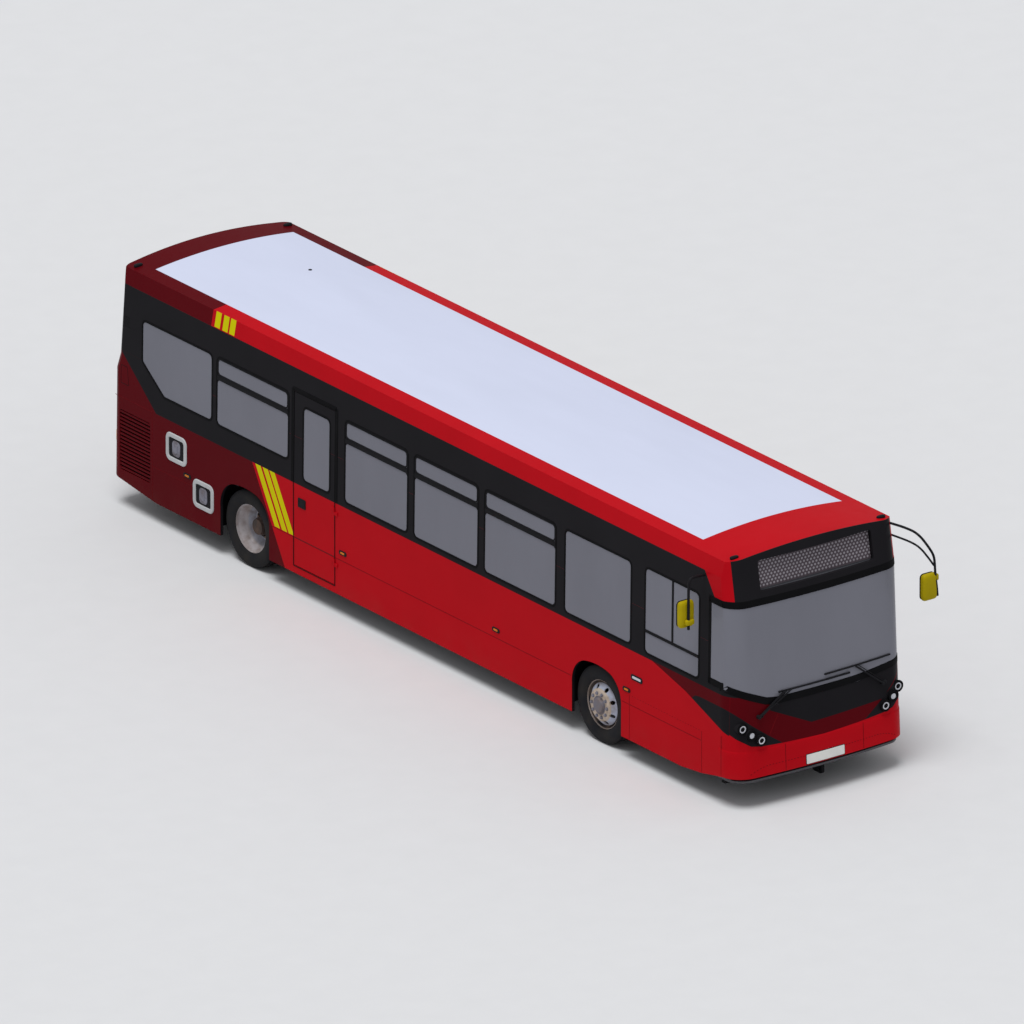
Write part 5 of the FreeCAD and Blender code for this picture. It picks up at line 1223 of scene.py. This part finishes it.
class CITYBUS_OT_mirrors(Piece, bpy.types.Operator):
    """Mirror shells with their rims and glass, and the arms' lower ends"""

    bl_idname = "city_bus.mirrors"
    bl_label = "Mirrors"

    def execute(self, context):
        shells, rims, faces = [], [], []
        for x, y, z in MIRRORS:
            y += AXLE_Y
            shells.append(egg((x, y, z), (0.103, 0.044, 0.160), 0.30))
            outline = dense(rectangle(x - 0.094, x + 0.094, z - 0.150, z + 0.150, 0.04))
            behind = on_wall("y", y - AXLE_Y + 0.036)
            rims.append(ribbon(outline, bar(0.016, 0.008, 0.003, -0.010), behind))
            faces.append(plate(rectangle(x - 0.088, x + 0.088, z - 0.144, z + 0.144, 0.036), 0.0045, behind, 0.001,
                               -0.012))
        arms = [pipe(np.array(eased(OFFSIDE_ARM, 3)) + (0, AXLE_Y, 0), 0.016, 12)]
        arms.append(pipe(np.array(eased(KERB_ARM, 3)) + (0, AXLE_Y, 0), 0.0145, 12))
        arms.append(pipe(np.array(eased(KERB_BRACE, 3)) + (0, AXLE_Y, 0), 0.012, 12))
        add("mirror_stems", arms, finish("black moulding"), replaces=("mirror_arms",))
        clamps = [egg((1.428, -2.842 + AXLE_Y, 2.315), (0.040, 0.030, 0.040), 0.4, 14, 24)]
        clamps.append(egg((-1.452, -2.056 + AXLE_Y, 2.205), (0.060, 0.030, 0.034), 0.4, 14, 24))
        shells.extend(clamps)
        add("mirror_shells", shells, finish("mirror yellow"), replaces=("mirror_heads",))
        add("mirror_rims", rims, finish("black moulding"))
        add("mirror_glasses", faces, finish("mirror glass"))
        return {"FINISHED"}


# ---- rear -------------------------------------------------------------------------------------
TAIL_LAMPS = ((1.070, "amber"), (0.945, "red"), (0.820, "red"), (0.700, "clear"), (0.610, "red"))


class CITYBUS_OT_rear(Piece, bpy.types.Operator):
    """Tail lamps, reflectors, number plate, engine door latch and the rear seams"""

    bl_idname = "city_bus.rear"
    bl_label = "Rear"

    def execute(self, context):
        bases, red, amber, clear = [], [], [], []
        for sign in (1, -1):
            x0, x1 = sorted((sign * 0.932, sign * 1.048))
            bases.append(plate(dense(rectangle(x0, x1, 0.562, 1.128, 0.035)), 0.012, on_tail, 0.006, -0.002))
            for z, colour in TAIL_LAMPS:
                x = sign * 0.990
                radius = 0.048 if z > 0.65 else 0.036
                lens_shape = dome((x, float(tail_y(x, z)) + AXLE_Y, z), radius, 0.014, "y", 1)
                lens_shape = (lens_shape[0] + (0, 0.0005, 0), lens_shape[1])
                {"amber": amber, "red": red, "clear": clear}[colour].append(lens_shape)
            red.append(plate(rectangle(*sorted((sign * 0.70, sign * 0.86)), 0.47, 0.515, 0.008), 0.006, on_tail))
            red.append(plate(rectangle(*sorted((sign * 0.93, sign * 1.03)), 2.56, 2.62, 0.02), 0.010, on_tail))
            amber.append(plate(rectangle(*sorted((sign * 1.160, sign * 1.196)), 0.775, 0.895, 0.008), 0.006, on_tail))
        add("tail_lamp_bases", bases, finish("black moulding"), replaces=("tail_lamps",))
        add("tail_lenses_red", red, finish("red lens"))
        add("tail_lenses_amber", amber, finish("amber"))
        add("tail_lenses_clear", clear, finish("clear lens"))

        holder = plate(dense(rectangle(-0.275, 0.275, 0.530, 0.654, 0.01)), 0.006, on_tail)
        face = plate(dense(rectangle(-0.26, 0.26, 0.537, 0.647, 0.008)), 0.0075, on_tail, 0.001, 0.005)
        add("rear_plate_holder", [holder], finish("black moulding"), "engine_door")
        add("rear_plate", [face], finish("plate"), "engine_door")
        latch = [plate(rectangle(-0.07, 0.07, 0.452, 0.500, 0.012), 0.010, on_tail, 0.004)]
        vent = dense(rectangle(-0.50, 0.50, 0.72, 1.12, 0.03))
        latch.append(ribbon(vent, bar(0.022, 0.006, 0.002, -0.004), on_tail))
        add("engine_door_trim", latch, finish("black frame"), "engine_door")
        seams = []
        line = bar(0.006, 0.0012, 0.0004)
        for z in (1.50, 2.62):
            seams.append(ribbon(across_nose(z, 1.10, 40), line, on_tail, False))
        seams.append(ribbon(dense(rectangle(-0.90, 0.90, 1.735, 2.50, 0.12)), bar(0.008, 0.003, 0.001), on_tail))
        add("rear_seams", seams, finish("rubber seal"))
        return {"FINISHED"}


# ---- doors ------------------------------------------------------------------------------------
class CITYBUS_OT_doors(Piece, bpy.types.Operator):
    """Emergency door seal and handle, entry leaf brushes and grab rails"""

    bl_idname = "city_bus.doors"
    bl_label = "Doors"

    def execute(self, context):
        y0, y1, z0, z1 = ESCAPE_DOOR
        offside = on_side(-1)
        wide = bar(0.050, 0.004, 0.0015)
        thin = bar(0.012, 0.003, 0.001)
        head = [(y0 - 0.027, BELT_Z), (y0 - 0.027, z1 + 0.027), (y1 + 0.027, z1 + 0.027), (y1 + 0.027, BELT_Z)]
        foot = [(y1 + 0.008, BELT_Z), (y1 + 0.008, z0 - 0.008), (y0 - 0.008, z0 - 0.008), (y0 - 0.008, BELT_Z)]
        seals = []
        for corners, section in ((head, wide), (foot, thin)):
            for start, end in zip(corners, corners[1:]):
                seals.append(ribbon(line_path(start, end), section, offside, False))
        add("emergency_door_seal", seals, finish("rubber seal"))
        trim = [ribbon(line_path((y0 + 0.012, 0.690), (y1 - 0.012, 0.690)), bar(0.005, 0.0012, 0.0004), offside,
                       False)]
        trim.append(plate(rectangle(5.530, 5.675, 1.085, 1.200, 0.012), 0.010, offside, 0.004))
        trim.append(ribbon(rectangle(5.550, 5.655, 1.103, 1.182, 0.012), bar(0.010, 0.014, 0.003, 0.006), offside))
        add("emergency_door_handle", trim, finish("black moulding"), "emergency_door")

        for end, leaf in (("front", "entry_door_front"), ("rear", "entry_door_rear")):
            low, high = (np.array(corner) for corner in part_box("entry_leaf_" + end))
            inner = high[1] if end == "front" else low[1]
            way = -1 if end == "front" else 1
            edge = inner + way * 0.004
            brush = pipe(line_path((1.185, edge, 0.37), (1.185, edge, 2.39)), 0.0055, 8)
            add(f"entry_brush_{end}", [brush], finish("rubber seal"), leaf)
            x, y = 1.118, inner + way * 0.10
            rail = eased([(1.168, y, 0.98), (x, y, 0.98), (x, y, 1.72), (1.168, y, 1.72)], 3)
            add(f"entry_grab_{end}", [pipe(rail, 0.012, 10)], finish("rail yellow"), leaf)
        return {"FINISHED"}


# ---- roof and small lamps ---------------------------------------------------------------------
MARKERS = (-0.570, 1.900, 4.820, 7.810)


class CITYBUS_OT_markers(Piece, bpy.types.Operator):
    """Side markers and repeaters, roof corner lamps, hatch and aerial"""

    bl_idname = "city_bus.markers"
    bl_label = "Markers"

    def execute(self, context):
        bases, lenses, clear = [], [], []
        for sign in (1, -1):
            side = on_side(sign)
            for index, y in enumerate(MARKERS):
                z = 0.850 if index == 0 else 0.780
                if sign > 0 and index == 0:
                    continue
                bases.append(plate(rectangle(y - 0.072, y + 0.072, z - 0.026, z + 0.030, 0.026), 0.008, side, 0.004))
                lenses.append(plate(rectangle(y - 0.038, y + 0.038, z - 0.010, z + 0.015, 0.011), 0.013, side,
                                    0.004, 0.006))
            bases.append(plate(rectangle(-0.87, -0.65, 1.005, 1.075, 0.030), 0.006, side, 0.003))
            clear.append(plate(rectangle(-0.84, -0.68, 1.026, 1.056, 0.013), 0.009, side, 0.003, 0.004))
            for x, y in ((1.037, -2.340), (1.065, 8.960)):
                bases.append(egg((sign * x, y + AXLE_Y, float(roof_z(x)) + 0.010), (0.058, 0.026, 0.022), 0.6, 14,
                                 24))
        add("marker_bases", bases, finish("black moulding"), replaces=("marker_lamps",))
        add("marker_lenses", lenses, finish("amber"))
        add("side_repeater_lenses", clear, finish("clear lens"))
        x, y = 0.342, 7.550 + AXLE_Y
        z = float(roof_z(x))
        foot = turned([(-0.002, 0.022), (0.004, 0.022), (0.009, 0.012), (0.013, 0.0)], (x, y, z), "z", 1, 20)
        add("roof_aerial", [foot], finish("black moulding"))

        slats, backs, holes = [], [], []
        y0, y1, z0, z1 = GRILLE
        for sign in (1, -1):
            side = on_side(sign)
            for i in range(16):
                z = z0 + (i + 0.5) * 0.046
                section = ((-0.012, -0.014), (-0.010, -0.001), (0.011, -0.003), (0.011, -0.014))
                slats.append(ribbon(line_path((y0 + 0.004, z), (y1 - 0.004, z)), section, side, False))
            backs.append(plate(rectangle(y0 - 0.02, y1 + 0.02, z0 - 0.02, z1 + 0.02, 0.02), -0.046, side, 0.002,
                               -0.052))
            # each vent hole is a flat dark disc on the skin: painted shade in place of the hole's hollow
            for row in range(5):
                for column in range(4):
                    y = 8.938 + 0.030 * column + 0.015 * (row % 2)
                    z = 2.250 + 0.028 * row
                    holes.append(plate(rounded(((y - 0.009, z - 0.009), (y + 0.009, z - 0.009),
                                                (y + 0.009, z + 0.009),
                                                (y - 0.009, z + 0.009)), 0.0085, 3), 0.0012, side, 0.0005))
            hatch = rounded(((8.945, 1.53), (9.095, 1.53), (9.095, 1.75), (8.975, 1.75)), 0.012)
            holes.append(ribbon(dense(hatch), bar(0.005, 0.0012, 0.0004), side))
        add("grille_slats", slats, finish("livery"))
        add("grille_backs", backs, finish("chassis"))
        add("vent_holes", holes, finish("rubber seal"))
        return {"FINISHED"}


# ---- saloon -----------------------------------------------------------------------------------
SEAT_STEP = 0.720
SEAT_ROWS = ((0.950, 0.340, 6, 5), (6.190, 0.860, 3, 3))       # first seat, floor, rows on the kerb side and offside
SEAT_SIDES = (0.330, 1.130)


def cushion(u_half, v_half, thick, crown, rows=17, steps=64):
    """Cushion about the origin: a squared outline that pulls in between its corners, crowned faces, piped edge."""
    angle = np.linspace(0, 2 * math.pi, steps, endpoint=False)
    edge_u = np.sign(np.cos(angle)) * np.abs(np.cos(angle)) ** 0.36
    edge_v = np.sign(np.sin(angle)) * np.abs(np.sin(angle)) ** 0.36
    pull = 1 - 0.03 * (1 - np.abs(np.sin(2 * angle))) ** 2
    level = np.concatenate([np.linspace(0, 1, rows), np.linspace(1, 0, rows)[1:]])[:, None]
    top = np.concatenate([np.ones(rows), -np.ones(rows - 1)])[:, None]
    puff = np.sqrt(np.clip(1 - level**3.2, 0, 1))
    u = u_half * edge_u * pull * level
    v = v_half * edge_v * pull * level
    welt = 0.004 * np.exp(-(((level - 0.97) / 0.02) ** 2))
    channel = 0.004 * np.exp(-((v / 0.012) ** 2)) * (level < 0.9) * (top > 0)
    w = top * (thick / 2) * puff + top * crown * (1 - level**2) * (top > 0) - channel + welt * top
    return np.stack([np.broadcast_to(u, w.shape), np.broadcast_to(v, w.shape), w], -1)


def laid(points, origin, along_u, along_v):
    """Puts a cushion's own axes onto two directions of the seat, its face along their cross product."""
    u, v = np.array(along_u, float), np.array(along_v, float)
    u, v = u / np.linalg.norm(u), v / np.linalg.norm(v)
    w = np.cross(u, v)
    turned_points = points[..., :1] * u + points[..., 1:2] * v + points[..., 2:] * w
    return sheet(turned_points + np.array(origin), wrap_columns=True)


def seat_places():
    """(inner x, outer x, front y, floor z, cushions, seat height, back height) of every seat."""
    places = []
    for start, floor_z, kerb_rows, offside_rows in SEAT_ROWS:
        for sign, rows in ((1, kerb_rows), (-1, offside_rows)):
            for i in range(rows):
                x0, x1 = sorted((sign * SEAT_SIDES[0], sign * SEAT_SIDES[1]))
                places.append((x0, x1, start + i * SEAT_STEP, floor_z, 2, 0.440, 0.620))
    places.append((-1.130, 1.130, 8.330, 1.300, 5, 0.160, 0.560))
    places.append((-1.010, -0.550, -1.450, 0.590, 1, 0.260, 0.700))
    return places


class CITYBUS_OT_saloon(Piece, bpy.types.Operator):
    """Seat shells, their stuffed cushions and backs, and the grab handles"""

    bl_idname = "city_bus.saloon"
    bl_label = "Saloon"

    def execute(self, context):
        shells, driver, squabs, backs, handles = [], [], [], [], []
        for x0, x1, y, z, count, height, back in seat_places():
            top = z + height
            profile = [(y + 0.004, top - 0.058), (y + 0.004, top - 0.030), (y + 0.40, top - 0.036),
                       (y + 0.448, top - 0.020),
                       (y + 0.546, top + back - 0.004), (y + 0.576, top + back - 0.004), (y + 0.488, top - 0.058)]
            outline = np.array(profile)
            place = on_wall("x", 0.0)
            rows = np.stack([place(outline, np.full(len(outline), x)) for x in (x0 + 0.004, x1 - 0.004)])
            body = sheet(capped(rows), wrap_columns=True)
            foot = np.array([(y + 0.125, z + 0.002), (y + 0.365, z + 0.002), (y + 0.365, top - 0.05),
                             (y + 0.125, top - 0.05)])
            stand = np.stack([place(foot, np.full(4, x)) for x in (x0 + 0.064, x1 - 0.064)])
            (driver if count == 1 else shells).extend([body, sheet(capped(stand), wrap_columns=True)])
            width = (x1 - x0) / count
            lean = np.array((0, 0.098, back - 0.02))
            for i in range(count):
                middle = x0 + width * (i + 0.5)
                base = cushion(width / 2 - 0.012, 0.205, 0.036, 0.006)
                squabs.append(laid(base, (middle, y + 0.216 + AXLE_Y, top - 0.014), (1, 0, 0), (0, 1, -0.01)))
                rest = cushion(width / 2 - 0.012, back / 2 - 0.035, 0.034, 0.006)
                origin = (middle, y + 0.484 + AXLE_Y, top + back / 2 + 0.004)
                backs.append(laid(rest, origin, (1, 0, 0), lean))
            if count == 2:
                x = x0 if x0 > 0 else x1
                way = 1 if x0 > 0 else -1
                grip = [(x + way * 0.02, y + 0.578, top + back - 0.10),
                        (x + way * 0.02, y + 0.600, top + back - 0.045),
                        (x + way * 0.20, y + 0.600, top + back - 0.045), (x + way * 0.20, y + 0.578,
                                                                          top + back - 0.10)]
                handles.append(pipe(np.array(eased(grip, 2)) + (0, AXLE_Y, 0), 0.011, 8))
        add("seat_shells", shells, finish("seat shell"), replaces=("seats",))
        add("driver_seat_shell", driver, finish("seat shell"), replaces=("driver_seat",))
        for name, shapes in (("seat_cushions", squabs), ("seat_backs", backs)):
            add(name, shapes, finish("moquette"), crease=60)
        add("seat_handles", handles, finish("rail yellow"))
        return {"FINISHED"}


OPERATORS = (
    CITYBUS_OT_stage, CITYBUS_OT_bodywork, CITYBUS_OT_glazing, CITYBUS_OT_wheels, CITYBUS_OT_sides, CITYBUS_OT_front,
    CITYBUS_OT_mirrors, CITYBUS_OT_rear, CITYBUS_OT_doors, CITYBUS_OT_markers, CITYBUS_OT_saloon,
)


class CITYBUS_PT_panel(bpy.types.Panel):
    """Buttons for each group of pieces, with the settings they read"""

    bl_idname = "CITYBUS_PT_panel"
    bl_label = "City bus"
    bl_space_type = "VIEW_3D"
    bl_region_type = "UI"
    bl_category = "City bus"

    def draw(self, context):
        for group in (context.scene.city_bus_livery, context.scene.city_bus_sizes, context.scene.city_bus_studio):
            for key in group.__annotations__:
                self.layout.prop(group, key)
        for operator in OPERATORS:
            self.layout.operator(operator.bl_idname)


CLASSES = (BusLivery, BusSizes, BusStudio) + OPERATORS + (CITYBUS_PT_panel,)
GROUPS = {"city_bus_livery": BusLivery, "city_bus_sizes": BusSizes, "city_bus_studio": BusStudio}


def register():
    for each in CLASSES:
        bpy.utils.register_class(each)
    for key, group in GROUPS.items():
        setattr(bpy.types.Scene, key, bpy.props.PointerProperty(type=group))


def unregister():
    for key in GROUPS:
        delattr(bpy.types.Scene, key)
    for each in reversed(CLASSES):
        bpy.utils.unregister_class(each)


def main():
    register()
    for operator in OPERATORS:
        family, name = operator.bl_idname.split(".")
        getattr(getattr(bpy.ops, family), name)()


if __name__ == "__main__":
    main()
